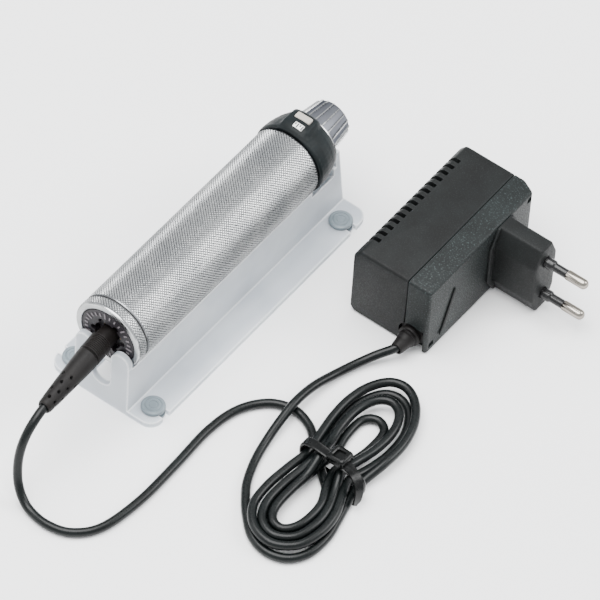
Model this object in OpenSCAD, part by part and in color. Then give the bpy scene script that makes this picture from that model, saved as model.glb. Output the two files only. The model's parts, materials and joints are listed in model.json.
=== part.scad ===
// Charging handle of an ophthalmoscope in its rest, with its lead and plug-in supply.
// +Y runs along the handle, from the charging socket to the instrument end. +Z is up.
// The origin is under the middle of the rest, on the surface that everything stands on.

/* [Handle] */
// Outer diameter of the knurled tube
tube_d = 30; // [28:0.5:30]
// Length from the bottom rim to the far end of the dimmer ring
handle_l = 122.6; // [121:0.2:124]
// Height of the handle's axis above the surface
axis_z = 35.5; // [35:0.5:38]
// Wall of the tube
tube_wall = 1.5; // [1.2:0.1:1.6]
// Length of the bottom ring
bottom_ring_l = 5; // [4:0.5:6]
// Length of the dimmer ring
dimmer_l = 12.6; // [12:0.2:13]
// Outer diameter of the dimmer ring
dimmer_d = 31.2; // [31:0.1:31.4]
// Length of the ribbed end cap
cap_l = 14.6; // [13:0.1:16]
// Number of ribs on the end cap
cap_ribs = 18; // [12:1:24]

/* [Charging plug] */
// Diameter of the plug's grip
grip_d = 9.4; // [9:0.1:10.4]
// Length of the ribbed part of the grip
grip_l = 6; // [5:0.5:8]
// Number of grip rings
grip_rings = 8; // [6:1:12]
// Length of the tapered boot
boot_l = 28; // [24:1:30]

/* [Rest] */
// Width over the flanges
rest_w = 49.6; // [46:0.2:54]
// Length of the rest
rest_l = 134; // [134:1:136]
// Width over the two walls
walls_w = 25; // [24:0.5:26]
// Thickness of the plastic
rest_t = 2.5; // [2:0.1:2.5]
// Diameter of a foot's head
foot_d = 9.4; // [8:0.1:10]

/* [Supply] */
// Length of the supply along the handle
supply_l = 68; // [66:1:72]
// Width of the supply, from its back to its plug face
supply_w = 36; // [35:1:38]
// Height of the supply
supply_h = 35.6; // [35:0.2:38]
// Wall of the supply's shells
supply_wall = 2; // [1.6:0.1:2.2]
// Number of vent slots
vents = 14; // [10:1:16]

/* [Lead] */
// Diameter of the lead
lead_d = 3.6; // [3.4:0.1:3.6]

/* [Hidden] */
$fn = 64;

rim_y = -64;                       // bottom rim of the handle
tube_r = tube_d / 2;
bore_r = tube_r - tube_wall;
dimmer_r = dimmer_d / 2;
dimmer_s = handle_l - dimmer_l;    // start of the dimmer ring, from the rim
pad_r = dimmer_r + 1.0;            // raised pad around the button
button_r = pad_r + 0.5;            // top of the button
fit = 0.05;                        // radial clearance of a running fit

// A place along the handle's axis, s from the bottom rim, with local +Z along +Y
module on_axis(s = 0) {
    translate([0, rim_y + s, axis_z]) rotate([-90, 0, 0]) children();
}

// A plain ring or disc about the handle's axis
module ring(s0, s1, r_out, r_in = 0) {
    on_axis(s0) difference() {
        cylinder(h = s1 - s0, r = r_out);
        if (r_in > 0) translate([0, 0, -1]) cylinder(h = s1 - s0 + 2, r = r_in);
    }
}

// A turned piece about the handle's axis: points are [radius, s]
module turned(points) {
    on_axis() rotate_extrude() polygon(points);
}

/* ---------- swept tubes ---------- */
function unit(v) = v / norm(v);
function smooth(p, i, t) =
    let (n = len(p), a = p[max(i - 1, 0)], b = p[i], c = p[min(i + 1, n - 1)], d = p[min(i + 2, n - 1)])
    0.5 * (2 * b + (c - a) * t + (2 * a - 5 * b + 4 * c - d) * t * t + (3 * b - a - 3 * c + d) * t * t * t);
function route(p, steps) = [
    for (i = [0 : len(p) - 2]) for (k = [0 : steps - 1]) smooth(p, i, k / steps), p[len(p) - 1]
];
function tangent(q, i) = unit(q[min(i + 1, len(q) - 1)] - q[max(i - 1, 0)]);
// Side vector that stays level, or keeps to +X where the tube runs straight down
function side(t) = let (s = cross(t, [0, 0, 1])) norm(s) > 0.05 ? unit(s) : [1, 0, 0];
function carried(q, i, s) = i >= len(q) ? [] : let (t = tangent(q, i), v = unit(s - (s * t) * t))
    concat([v], carried(q, i + 1, v));

// One closed polyhedron along points q, with radius r
module tube_along(q, r, sides = 8) {
    n = len(q);
    sv = carried(q, 0, side(tangent(q, 0)));
    pts = [for (i = [0 : n - 1]) let (t = tangent(q, i), u = sv[i], w = cross(t, u))
        for (k = [0 : sides - 1]) q[i] + r * (cos(360 * k / sides) * u + sin(360 * k / sides) * w)];
    walls = [for (i = [0 : n - 2]) for (k = [0 : sides - 1]) let (m = (k + 1) % sides)
        [i * sides + k, (i + 1) * sides + k, (i + 1) * sides + m, i * sides + m]];
    polyhedron(pts, concat(walls, [[for (k = [0 : sides - 1]) k]],
        [[for (k = [sides - 1 : -1 : 0]) (n - 1) * sides + k]]), convexity = 6);
}

// Points of a coil spring about the handle's axis
function coil(s0, s1, r, turns, per = 12) = [for (i = [0 : turns * per])
    [r * cos(360 * i / per), rim_y + s0 + (s1 - s0) * i / (turns * per), axis_z + r * sin(360 * i / per)]];

/* ---------- rest ---------- */
rest_z = 0.8;                      // underside of the flanges, above the feet
flange_top = rest_z + rest_t;
rest_y0 = -rest_l / 2;
notch_w = 8.4;                     // notch for the plug in the near plate
notch_z = 10.6;
ear_x = 8.3;
ear_z = 32.5;
far_top_z = 36;
far_top_y = 61.7;
cap_r0 = 10.4;                     // ribbed cap at its wide end
cap_r1 = 8.3;
foot_x = 18.6;
foot_y = [-59, 57];

module rest_flanges() {
    difference() {
        translate([0, 0, rest_z]) linear_extrude(rest_t) difference() {
            hull() for (x = [-1, 1]) for (y = [-1, 1])
                translate([x * (rest_w / 2 - 5.5), y * (rest_l / 2 - 5.5)]) circle(5.5, $fn = 32);
            square([walls_w - 2 * rest_t, rest_l - 3 * rest_t], center = true);
        }
        for (x = [-1, 1]) for (y = foot_y) foot_slot(x, y);
    }
}
module foot_slot(x, y) {
    translate([x * foot_x, y, -1]) cylinder(h = 6, r = 2);
    translate([x * (foot_x + 4), y, 2]) cube([8, 4, 6], center = true);
    translate([x * foot_x, y, 0]) cylinder(h = rest_z + 0.8, r = foot_d / 2 + 0.2);
}
module rest_walls() {
    for (x = [-1, 1]) translate([x * (walls_w - rest_t) / 2, 0, (27 + rest_z) / 2])
        cube([rest_t, rest_l - 2 * rest_t, 27 - rest_z], center = true);
}
module near_plate() {
    translate([0, rest_y0 + rest_t, 0]) rotate([90, 0, 0]) linear_extrude(rest_t) difference() {
        union() {
            translate([-walls_w / 2, rest_z]) square([walls_w, 27 - rest_z]);
            for (x = [-1, 1]) {
                translate([x * ear_x, ear_z - 4]) circle(4.1, $fn = 48);
                translate([x * ear_x - 4.1, 20]) square([8.2, ear_z - 24]);
            }
        }
        translate([0, notch_z + notch_w / 2]) circle(notch_w / 2, $fn = 48);
        translate([-notch_w / 2, notch_z + notch_w / 2]) square([notch_w, 30]);
    }
}
module far_plate() {
    difference() {
        translate([-walls_w / 2, 0, 0]) rotate([90, 0, 90]) linear_extrude(walls_w) polygon([
            [rest_l / 2 - rest_t, rest_z], [rest_l / 2, rest_z],
            [far_top_y, far_top_z], [far_top_y - rest_t, far_top_z]]);
        on_axis(100) cylinder(h = 60, r = cap_r0 + 0.6);
        translate([-cap_r0 - 0.6, 40, axis_z]) cube([2 * cap_r0 + 1.2, 60, 20]);
    }
}
module cradle() {
    color([0.80, 0.83, 0.86, 0.6]) union() {
        rest_flanges();
        difference() {
            union() {
                rest_walls();
                near_plate();
                far_plate();
            }
            on_axis(-0.5) cylinder(h = handle_l + 1.1, r = tube_r + 0.3, $fn = 96);
            on_axis(dimmer_s - 0.5) cylinder(h = dimmer_l + 1.1, r = button_r + 0.3, $fn = 96);
            // the walls stop at the slanted far plate
            translate([-30, 0, 0]) rotate([90, 0, 90]) linear_extrude(60) polygon([
                [rest_l / 2, rest_z], [far_top_y, far_top_z], [rest_l / 2 + 20, far_top_z]]);
        }
    }
}
// A push-in foot: head on the flange, stem in its slot, pad below
module foot(x, y) {
    color([0.55, 0.58, 0.60]) translate([x * foot_x, y, 0]) rotate_extrude() polygon([
        [0, 0], [foot_d / 2 - 0.6, 0], [foot_d / 2, 0.5], [foot_d / 2, rest_z + 0.7], [1.8, rest_z + 0.7],
        [1.8, flange_top], [foot_d / 2, flange_top], [foot_d / 2, flange_top + 1.1],
        [foot_d / 2 - 0.4, flange_top + 1.5], [0, flange_top + 1.5]]);
}
module foot_near_left() foot(-1, foot_y[0]);
module foot_near_right() foot(1, foot_y[0]);
module foot_far_left() foot(-1, foot_y[1]);
module foot_far_right() foot(1, foot_y[1]);

/* ---------- handle ---------- */
spigot_r = bore_r - fit;
tube_end = dimmer_s - 0.3;
insert_s = 0.25;                   // face of the socket insert
insert_r = 12.2;

module handle_tube() {
    color([0.78, 0.79, 0.80]) turned([
        [bore_r, bottom_ring_l + 0.4], [tube_r - 0.3, bottom_ring_l + 0.4], [tube_r, bottom_ring_l + 0.7],
        [tube_r, tube_end - 0.4], [tube_r - 0.4, tube_end], [bore_r, tube_end]]);
}
module bottom_ring() {
    color([0.80, 0.81, 0.82]) turned([
        [insert_r + 0.05, 0.4], [insert_r + 0.5, 0], [tube_r - 0.7, 0], [tube_r, 0.9], [tube_r, bottom_ring_l - 0.3],
        [tube_r - 0.3, bottom_ring_l], [spigot_r, bottom_ring_l], [spigot_r, 12], [insert_r + 0.05, 12]]);
}
module bottom_seal() {
    color([0.08, 0.08, 0.09]) ring(bottom_ring_l + 0.02, bottom_ring_l + 0.38, tube_r - 0.3, spigot_r + 0.05);
}
// Insert with a socket recess, key notches and a ring of plain ticks
module socket_insert() {
    color([0.14, 0.11, 0.15]) union() {
        difference() {
            turned([[0, insert_s], [insert_r - 0.3, insert_s], [insert_r, insert_s + 0.3], [insert_r, 11], [0, 11]]);
            on_axis(insert_s - 1) cylinder(h = 4, r = 6.2);
            on_axis(insert_s - 1) for (a = [0 : 60 : 300]) rotate(a) translate([6.6, 0, 0]) cylinder(h = 4, r = 1.3);
            on_axis(0) cylinder(h = 12, r = 4.2);
        }
        on_axis(insert_s - 0.25) for (i = [0 : 27]) rotate(i * 360 / 28 + 4)
            translate([9.9, 0, 0.15]) cube([i % 4 == 0 ? 2.6 : 1.5, 0.6, 0.3], center = true);
    }
}
module socket_sleeve() {
    color([0.80, 0.66, 0.34]) ring(3.4, 13, 4.18, 2.85);
}
module socket_pin() {
    color([0.82, 0.70, 0.40]) turned([[0, 4], [0.6, 4], [0.95, 4.5], [0.95, 11.4], [2.7, 11.4], [2.7, 13.4], [0, 13.4]]);
}
module charge_board() {
    color([0.12, 0.36, 0.22]) ring(13.5, 15.1, 12.6);
}
module board_chips() {
    color([0.10, 0.10, 0.11]) on_axis(15.1) {
        translate([-8, -3, 0]) cube([5, 6, 1.6]);
        translate([4, -7, 0]) cube([3, 4, 1.2]);
        for (y = [2, 5, 8]) translate([-2, y, 0]) cube([2.4, 1.4, 1]);
    }
}
module rear_spring() {
    color([0.75, 0.76, 0.78]) tube_along(coil(17, 25.6, 8, 4), 0.45, 6);
}
cell_r = 11.6;
module cell(s0, s1) {
    turned([[0, s0], [cell_r - 0.6, s0], [cell_r, s0 + 0.6], [cell_r, s1 - 0.8], [cell_r - 0.8, s1], [0, s1]]);
}
module battery_rear() {
    color([0.25, 0.45, 0.70]) cell(26.1, 59.5);
}
module battery_front() {
    color([0.25, 0.45, 0.70]) cell(59.6, 92);
}
module battery_wrap() {
    color([0.16, 0.30, 0.55]) ring(26.1, 92, cell_r + 0.35, cell_r + 0.03);
}
module battery_button() {
    color([0.80, 0.80, 0.82]) ring(92, 93.6, 3.5);
}
module tube_liner() {
    color([0.88, 0.88, 0.84]) ring(15.3, 98, 12.9, 12.3);
}
module contact_plunger() {
    color([0.82, 0.68, 0.36]) turned([[0, 93.7], [1.6, 93.7], [2.2, 94.3], [2.2, 97.5], [4.2, 97.5], [4.2, 98.5],
        [2.2, 98.5], [2.2, 113], [0, 113]]);
}
module plunger_spring() {
    color([0.75, 0.76, 0.78]) tube_along(coil(99.1, 104.6, 3.2, 4), 0.4, 6);
}
module contact_bush() {
    color([0.90, 0.90, 0.86]) ring(105.1, 130.5, 4.2, 2.25);
}

/* ---------- instrument end ---------- */
neck_r = 7.4;
drum_r = 11.2;
track_r = 11.8;                    // outside of the resistor track
neck_end = 131;
module neck() {
    color([0.72, 0.73, 0.75]) turned([
        [4.25, 100], [bore_r - 0.02, 100], [bore_r - 0.02, 109], [drum_r, 109], [drum_r, handle_l + 0.1],
        [neck_r, handle_l + 0.1], [neck_r, neck_end - 0.6], [neck_r - 0.6, neck_end], [4.25, neck_end]]);
}
module dimmer_track() {
    color([0.45, 0.26, 0.14]) on_axis(117.2) rotate_extrude(angle = 300)
        translate([drum_r + 0.02, 0]) square([track_r - drum_r - 0.02, 2.6]);
}
// Sprung contact, set in a pocket of the dimmer ring
module wiper_block(grow = 0) {
    on_axis(117.4 - grow) rotate(30) translate([track_r + 0.06, -1 - grow, 0])
        cube([1.2 + grow, 2 + 2 * grow, 2 + 2 * grow]);
}
module dimmer_wiper() {
    color([0.85, 0.70, 0.38]) wiper_block();
}
scale_r = 13.3;
module scale_sleeve() {
    color([0.93, 0.93, 0.91]) ring(111.3, 116.6, scale_r, drum_r + 0.02);
}
// Bars that grow along the scale
module scale_marks() {
    color([0.06, 0.06, 0.07]) on_axis(114) for (i = [0 : 11]) rotate(-90 + 24 * (i - 4))
        translate([scale_r + 0.09, 0, 0]) cube([0.16, 0.7, 1.2 + 0.15 * i], center = true);
}
button_l = 7.0;                    // around the ring
button_w = 3.0;                    // along the axis
button_s = 118.5;
button_z = 13.2;                   // underside of the button, above the handle's axis
collar_l = button_l + 1.2;
collar_w = button_w + 0.8;
collar_t = 0.8;
window_s = 114.2;
dimmer_end_r = 13.1;               // the ring tapers to this at its far end
recess_s = dimmer_s + 6.8;         // the ring's bore steps in here, and again at step_s
step_s = dimmer_s + 10.1;
module dimmer_ring() {
    color([0.09, 0.12, 0.12]) difference() {
        union() {
            turned([
                [scale_r + 0.3, dimmer_s], [dimmer_r - 0.5, dimmer_s], [dimmer_r, dimmer_s + 0.6],
                [dimmer_r, dimmer_s + 6.5], [dimmer_r - 0.5, dimmer_s + 9], [dimmer_end_r + 1, handle_l - 1.2],
                [dimmer_end_r, handle_l], [drum_r + fit, handle_l], [drum_r + fit, step_s],
                [scale_r - 1.4, step_s], [scale_r - 1.4, recess_s], [scale_r + 0.3, recess_s]]);
            // raised pad around the button
            intersection() {
                turned([[scale_r + 1, dimmer_s + 1.4], [dimmer_r, dimmer_s + 1.4], [pad_r, dimmer_s + 4],
                    [pad_r, step_s], [dimmer_end_r + 0.2, handle_l - 0.2], [dimmer_end_r - 0.3, handle_l - 0.2],
                    [dimmer_end_r - 0.3, step_s], [scale_r + 1, step_s]]);
                on_axis(100) translate([0, -15, 15]) cube([11, 12, 30], center = true);
            }
        }
        translate([0, rim_y + button_s, axis_z + 16]) {
            cube([button_l + 2 * fit, button_w + 2 * fit, 12], center = true);
            translate([0, 0, -3.9]) cube([collar_l + 0.6, collar_w + 0.4, 4.2], center = true);
        }
        translate([0.8, rim_y + window_s, axis_z + 16]) cube([4.2, 2.6, 8], center = true);
        wiper_block(0.03);
    }
}
// Button with a crowned top that follows the ring; a collar inside keeps it captive
module push_button() {
    color([0.70, 0.68, 0.63]) union() {
        intersection() {
            translate([-button_l / 2, rim_y + button_s - button_w / 2, axis_z + button_z])
                cube([button_l, button_w, 5]);
            on_axis(100) cylinder(h = 40, r = button_r);
        }
        translate([-collar_l / 2, rim_y + button_s - collar_w / 2, axis_z + button_z])
            cube([collar_l, collar_w, collar_t]);
    }
}
module button_spring() {
    color([0.78, 0.78, 0.80]) translate([0, rim_y + button_s, axis_z])
        tube_along([for (i = [0 : 24]) [0.8 * cos(60 * i), 0.8 * sin(60 * i), 12 + 0.042 * i]], 0.12, 5);
}
module retaining_ring() {
    color([0.85, 0.86, 0.85]) ring(handle_l + 0.12, handle_l + 0.55, dimmer_end_r - 0.1, neck_r + 0.02);
}
module bayonet_pins() {
    color([0.80, 0.80, 0.82]) for (a = [0, 120, 240])
        on_axis(127.5) rotate(a) translate([neck_r + 0.01, 0, 0]) rotate([0, 90, 0]) cylinder(h = 0.9, r = 0.7);
}
module head_contact() {
    color([0.85, 0.72, 0.40]) turned([[0, 113.1], [2.2, 113.1], [2.2, 130], [1.6, 131.2], [0, 131.2]]);
}
module neck_seal() {
    color([0.07, 0.07, 0.08]) on_axis(124) rotate_extrude() translate([neck_r + 0.52, 0]) circle(0.5, $fn = 24);
}
module ribbed_cap() {
    s0 = handle_l + 0.85;
    s1 = s0 + cap_l;
    slope = (cap_r0 - cap_r1) / cap_l;
    color([0.62, 0.63, 0.66]) difference() {
        turned([[8.5, s0], [cap_r0, s0], [cap_r1 + 0.2, s1 - 0.6], [cap_r1 - 0.4, s1], [0, s1],
            [0, s1 - 1.6], [6.4, s1 - 1.6], [7.5, s0 + 8.6], [7.5, s0 + 7], [8.5, s0 + 6]]);
        // grooves between the ribs, cut along the taper
        for (a = [0 : 360 / cap_ribs : 359]) on_axis(s0 + 1.2) rotate(a)
            translate([cap_r0 + 0.15, 0, 0]) rotate([0, -atan(slope), 0]) cylinder(h = cap_l + 4, r = 0.75, $fn = 20);
    }
}

/* ---------- charging plug ---------- */
grip_r = grip_d / 2;
plug_s = -5.4;                     // front of the grip's rings
boot_s = plug_s - grip_l;          // where the boot begins
boot_end = boot_s - boot_l;
lead_r = lead_d / 2;
module plug_grip() {
    pitch = grip_l / grip_rings;
    color([0.07, 0.07, 0.07]) turned(concat(
        [[2.8, 3.1], [3.7, 3.1], [3.9, 2.9], [3.9, plug_s]],
        [for (i = [0 : grip_rings - 1]) each [
            [grip_r, plug_s - i * pitch - 0.1], [grip_r, plug_s - i * pitch - 0.7 * pitch],
            [grip_r - 0.45, plug_s - i * pitch - 0.8 * pitch], [grip_r - 0.45, plug_s - i * pitch - 0.98 * pitch]]],
        [[grip_r - 0.45, boot_s], [2.8, boot_s]]));
}
module plug_nose() {
    color([0.80, 0.80, 0.82]) turned([[1.15, boot_s + 2], [2.75, boot_s + 2], [2.75, 9.4], [2.35, 9.8], [1.15, 9.8]]);
}
module plug_boot() {
    color([0.09, 0.09, 0.09]) turned([
        [2.1, boot_s - 2], [grip_r - 0.9, boot_s - 0.02], [grip_r - 0.1, boot_s - 0.02], [grip_r - 0.1, boot_s - 3],
        [4.1, boot_s - 10], [3.75, boot_s - 16], [3.35, boot_s - 22], [2.9, boot_end], [2.1, boot_end]]);
}

/* ---------- plug-in supply ---------- */
supply_x0 = 45;
supply_y0 = 27;
supply_x1 = supply_x0 + supply_w;
supply_y1 = supply_y0 + supply_l;
seam_x = supply_x1 - 10.5;
plug_y = 73.5;
plug_z = 17.9;
pin_half = 9.0;
plug_l = 20;
plinth_wide = 1.35;                // low plinth at the root of the plug, across the pins
boot_x = 73.6;
boot_z = 6.6;

// Outline in plan of a shell, with the far plug-side corner cut back
module plan(inset = 0) {
    x0 = supply_x0 + inset;
    x1 = supply_x1 - inset;
    y0 = supply_y0 + inset;
    y1 = supply_y1 - inset;
    polygon([[x0, y0], [x1, y0], [x1, y1 - 3], [x1 - 6, y1], [x0, y1]]);
}
module shell_block(xa, xb, inset) {
    intersection() {
        translate([0, 0, inset]) linear_extrude(supply_h - 2 * inset) plan(inset);
        translate([xa, supply_y0 - 1, -1]) cube([xb - xa, supply_l + 2, supply_h + 2]);
        // long edges on the back are chamfered
        translate([0, supply_y1 + 1, 0]) rotate([90, 0, 0]) linear_extrude(supply_l + 2) polygon([
            [supply_x0 + inset, 2 + inset], [supply_x0 + 2 + inset, inset], [supply_x1, inset],
            [supply_x1, supply_h - inset], [supply_x0 + 3 + inset, supply_h - inset],
            [supply_x0 + inset, supply_h - 4 - inset]]);
    }
}
module boot_pocket() {
    translate([boot_x, supply_y0 + 3, boot_z]) rotate([90, 0, 0]) cylinder(h = 6, r = 5.6);
    translate([boot_x - 1, supply_y0 - 1, -1]) cube([6.6, 4, 12.6]);
}
module supply_cover() {
    color([0.16, 0.17, 0.17]) difference() {
        shell_block(supply_x0, seam_x - 0.2, 0);
        shell_block(supply_x0 - 1, seam_x + 1, supply_wall);
        for (i = [0 : vents - 1])
            translate([supply_x0 - 1, supply_y0 + 8 + i * (supply_l - 14) / vents, supply_h - 6.5]) cube([7, 1.9, 8]);
        boot_pocket();
    }
}
module supply_base() {
    color([0.15, 0.16, 0.16]) difference() {
        shell_block(seam_x, supply_x1, 0);
        shell_block(seam_x - 1, supply_x1 - supply_wall, supply_wall);
        boot_pocket();
        for (z = [-1, 1]) translate([supply_x1 - 5, plug_y, plug_z + z * pin_half]) rotate([0, 90, 0]) cylinder(h = 8, r = 2.6);
    }
}
// Section of a flat two-pin plug, drawn in Y and Z about its middle
module plug_section(wide = 1) {
    polygon([for (p = [[3.4, 17.5], [6.85, 9.5], [6.85, -9.5], [3.4, -17.5], [-3.4, -17.5], [-6.85, -9.5],
        [-6.85, 9.5], [-3.4, 17.5]]) [p[0] * wide, p[1]]]);
}
module along_x(x) {
    translate([x, plug_y, plug_z]) rotate([90, 0, 90]) children();
}
pin_root_r = 1.7;                   // shank of a pin inside the plug
module mains_plug() {
    color([0.12, 0.12, 0.12]) difference() {
        union() {
            along_x(supply_x1 + 0.02) linear_extrude(plug_l) plug_section();
            along_x(supply_x1 + 0.02) linear_extrude(1.2) plug_section(plinth_wide);
        }
        for (z = [-1, 1]) along_x(supply_x1 - 1) translate([0, z * pin_half, 0]) cylinder(h = plug_l + 3, r = pin_root_r + 0.02);
        for (z = [-1, 1]) along_x(supply_x1 + plug_l - 2) translate([0, z * pin_half, 0]) cylinder(h = 4, r = 2.5);
    }
}
pin_tip = supply_x1 + plug_l + 19;
module mains_pins() {
    color([0.80, 0.79, 0.76]) for (z = [-1, 1]) along_x(0) translate([0, z * pin_half, 0]) rotate_extrude() polygon([
        [0, supply_x1 - 4], [pin_root_r, supply_x1 - 4], [pin_root_r, supply_x1 + plug_l - 2.2],
        [1.5, supply_x1 + plug_l - 2], [1.5, pin_tip - 9], [2, pin_tip - 9], [2, pin_tip - 1.6],
        [1.6, pin_tip - 0.6], [0.9, pin_tip - 0.1], [0, pin_tip]]);
}
module pin_sleeves() {
    color([0.06, 0.06, 0.06]) for (z = [-1, 1]) along_x(0) translate([0, z * pin_half, 0]) rotate_extrude() polygon([
        [1.52, supply_x1 + plug_l - 1.9], [2.48, supply_x1 + plug_l - 1.9], [2.48, supply_x1 + plug_l + 2.5],
        [1.95, supply_x1 + plug_l + 3], [1.95, pin_tip - 9.02], [1.52, pin_tip - 9.02]]);
}
core_x = supply_x0 + 4;
core_y = 54;
module core_plan(h) {
    translate([core_x, core_y, 5]) cube([22, 34, h]);
}
module laminated_core() {
    color([0.42, 0.42, 0.44]) difference() {
        core_plan(25);
        for (y = [6, 22]) translate([core_x + 4, core_y + y, 0]) cube([14, 6, 40]);
    }
}
module bobbin() {
    color([0.88, 0.86, 0.78]) difference() {
        translate([core_x + 4.3, core_y + 6.3, 3.6]) cube([13.4, 21.4, 27.8]);
        translate([core_x, core_y + 11.9, 0]) cube([30, 10.2, 40]);
        translate([core_x, core_y, 4.8]) cube([30, 11.5, 25.4]);
        translate([core_x, core_y + 22.5, 4.8]) cube([30, 20, 25.4]);
    }
}
module winding(r0, r1, z0, z1) {
    for (y = [0, 1]) translate([core_x + 5, core_y + (y == 0 ? 11.4 - r1 : 22.6 + r0), z0]) cube([12, r1 - r0, z1 - z0]);
}
module primary_winding() {
    color([0.72, 0.38, 0.16]) winding(0, 2.4, 5, 30);
}
module secondary_winding() {
    color([0.78, 0.46, 0.20]) winding(2.5, 4.9, 5, 30);
}
module rectifier_board() {
    color([0.60, 0.48, 0.25]) translate([supply_x0 + 4, supply_y0 + 6, 14]) cube([20, 18, 1.6]);
}
module diodes() {
    color([0.07, 0.07, 0.07]) for (i = [0 : 3])
        translate([supply_x0 + 6, supply_y0 + 8 + 3.6 * i, 16.95]) rotate([0, 90, 0]) cylinder(h = 5.2, r = 1.3);
}
module capacitor() {
    color([0.12, 0.16, 0.30]) translate([supply_x0 + 17.4, supply_y0 + 15, 15.65]) cylinder(h = 12, r = 5);
}
// Collar in its pocket, then a taper that the lead leaves
module supply_boot() {
    color([0.10, 0.10, 0.10]) translate([boot_x, supply_y0 + 2.9, boot_z]) rotate([90, 0, 0]) difference() {
        rotate_extrude() polygon([[0, 0], [5.2, 0], [5.2, 1.6], [4, 1.9], [4, 3], [4.4, 3.2], [4.2, 4.4],
            [2.9, 8.5], [2.5, 12], [0, 12]]);
        translate([0, 0, 4]) cylinder(h = 10, r = lead_r + 0.02);
    }
}

/* ---------- lead ---------- */
lead_z = lead_r;                   // centre of the lead where it lies on the surface
lead_points = [
    [0, boot_end + rim_y + 8, axis_z], [0, boot_end + rim_y, axis_z], [0, -107, 34.2], [0.2, -111.5, 31],
    [0.6, -115, 26], [1.2, -117.3, 20], [2.2, -119, 14], [4, -120.8, 8.6]];
run_points = [
    [4, -120.8, 8.6], [7.5, -122.8, 4.2], [13, -124.6, lead_z], [22, -125.6, lead_z], [31, -122.6, lead_z],
    [38, -113.5, lead_z], [41, -95.5, lead_z], [41, -74, lead_z], [40.4, -54, lead_z], [43, -39.5, lead_z],
    [50, -29.5, lead_z], [59.5, -26, lead_z], [68.5, -28.6, lead_z], [75, -34.5, lead_z]];
tail_points = [
    [boot_x, supply_y0 - 7, boot_z], [72, 17, 5.8], [68.8, 13, 4.4], [65.3, 7, 3], [61.6, -3, 2.8],
    [59.4, -14, 4.4], [59, -25, 5.5], [59.5, -35, 4.2], [60.5, -45, 2.4], [62.6, -54.5, lead_z],
    [66.2, -63.8, lead_z], [71, -71.5, lead_z], [74.5, -75.5, lead_z]];

module lead_tube(points, steps = 3) {
    color([0.17, 0.20, 0.20]) tube_along(route(points, steps), lead_r);
}
module cord_lead() lead_tube(lead_points);
module cord_run() lead_tube(run_points);
module cord_tail() lead_tube(tail_points);

// Outer shape of the hank: two loops that the tie pulls together at their waist
hank_h = 7.5;
waist_y = -41;
waist_x0 = 75.5;
waist_x1 = 100;
module waist() {
    for (x = [waist_x0 + 11, waist_x1 - 11]) translate([x, waist_y]) circle(11, $fn = 32);
}
module cord_hank() {
    color([0.17, 0.20, 0.20]) linear_extrude(hank_h) union() {
        hull() {
            waist();
            translate([82, -62]) circle(9.5, $fn = 32);
            translate([86, -70]) circle(13.5, $fn = 32);
            translate([91.2, -70.4]) circle(13.3, $fn = 32);
        }
        hull() {
            waist();
            translate([85, -6.5]) circle(13, $fn = 32);
            translate([90.5, -19]) circle(13.5, $fn = 32);
        }
    }
}
// Band around the waist, with its head on top
tie_w = 4;
tie_t = 1.2;
module hank_tie() {
    color([0.08, 0.08, 0.09]) union() {
        difference() {
            translate([waist_x0 - 0.4 - tie_t, waist_y - tie_w / 2, 0])
                cube([waist_x1 - waist_x0 + 0.8 + 2 * tie_t, tie_w, hank_h + 0.1 + tie_t]);
            translate([waist_x0 - 0.4, waist_y - tie_w, -1])
                cube([waist_x1 - waist_x0 + 0.8, 2 * tie_w, hank_h + 1.1]);
        }
        translate([86, waist_y - 3, hank_h + 0.2]) cube([8, 9, 4]);
    }
}

cradle();
foot_near_left();
foot_near_right();
foot_far_left();
foot_far_right();
handle_tube();
bottom_ring();
bottom_seal();
socket_insert();
socket_sleeve();
socket_pin();
charge_board();
board_chips();
rear_spring();
battery_rear();
battery_front();
battery_wrap();
battery_button();
tube_liner();
contact_plunger();
plunger_spring();
contact_bush();
neck();
dimmer_track();
dimmer_wiper();
scale_sleeve();
scale_marks();
dimmer_ring();
push_button();
button_spring();
retaining_ring();
bayonet_pins();
head_contact();
neck_seal();
ribbed_cap();
plug_grip();
plug_nose();
plug_boot();
supply_cover();
supply_base();
mains_plug();
mains_pins();
pin_sleeves();
laminated_core();
bobbin();
primary_winding();
secondary_winding();
rectifier_board();
diodes();
capacitor();
supply_boot();
cord_lead();
cord_run();
cord_tail();
cord_hank();
hank_tie();
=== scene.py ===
"""Charging handle of an ophthalmoscope in its rest, with its lead, hank and plug-in supply.

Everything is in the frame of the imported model: +Y along the handle towards the instrument end,
+X towards the supply and +Z up. Sizes in the classes are millimetres; meshes are made in metres.
"""

from __future__ import annotations

import json
import logging
import math
from dataclasses import dataclass, field
from enum import Enum
from typing import Callable, Iterable, Sequence

import bmesh
import bpy
from mathutils import Matrix, Vector


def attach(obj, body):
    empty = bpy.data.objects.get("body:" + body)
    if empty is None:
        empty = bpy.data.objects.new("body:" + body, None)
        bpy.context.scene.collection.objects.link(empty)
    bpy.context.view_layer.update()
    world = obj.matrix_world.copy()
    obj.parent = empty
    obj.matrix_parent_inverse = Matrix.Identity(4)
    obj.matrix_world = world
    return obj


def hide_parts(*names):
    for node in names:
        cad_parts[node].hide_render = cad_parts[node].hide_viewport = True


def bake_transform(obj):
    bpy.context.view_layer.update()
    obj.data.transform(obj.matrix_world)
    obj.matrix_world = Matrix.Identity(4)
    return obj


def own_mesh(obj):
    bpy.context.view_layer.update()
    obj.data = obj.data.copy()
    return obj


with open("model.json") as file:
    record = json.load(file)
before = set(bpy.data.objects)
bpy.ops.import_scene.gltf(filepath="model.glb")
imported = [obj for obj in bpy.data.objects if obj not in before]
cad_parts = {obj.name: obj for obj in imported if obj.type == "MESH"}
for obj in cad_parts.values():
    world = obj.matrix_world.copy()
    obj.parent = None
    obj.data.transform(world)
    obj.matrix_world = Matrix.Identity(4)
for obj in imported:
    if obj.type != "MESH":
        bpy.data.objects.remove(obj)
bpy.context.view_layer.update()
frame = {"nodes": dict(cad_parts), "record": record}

MM = 0.001
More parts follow.
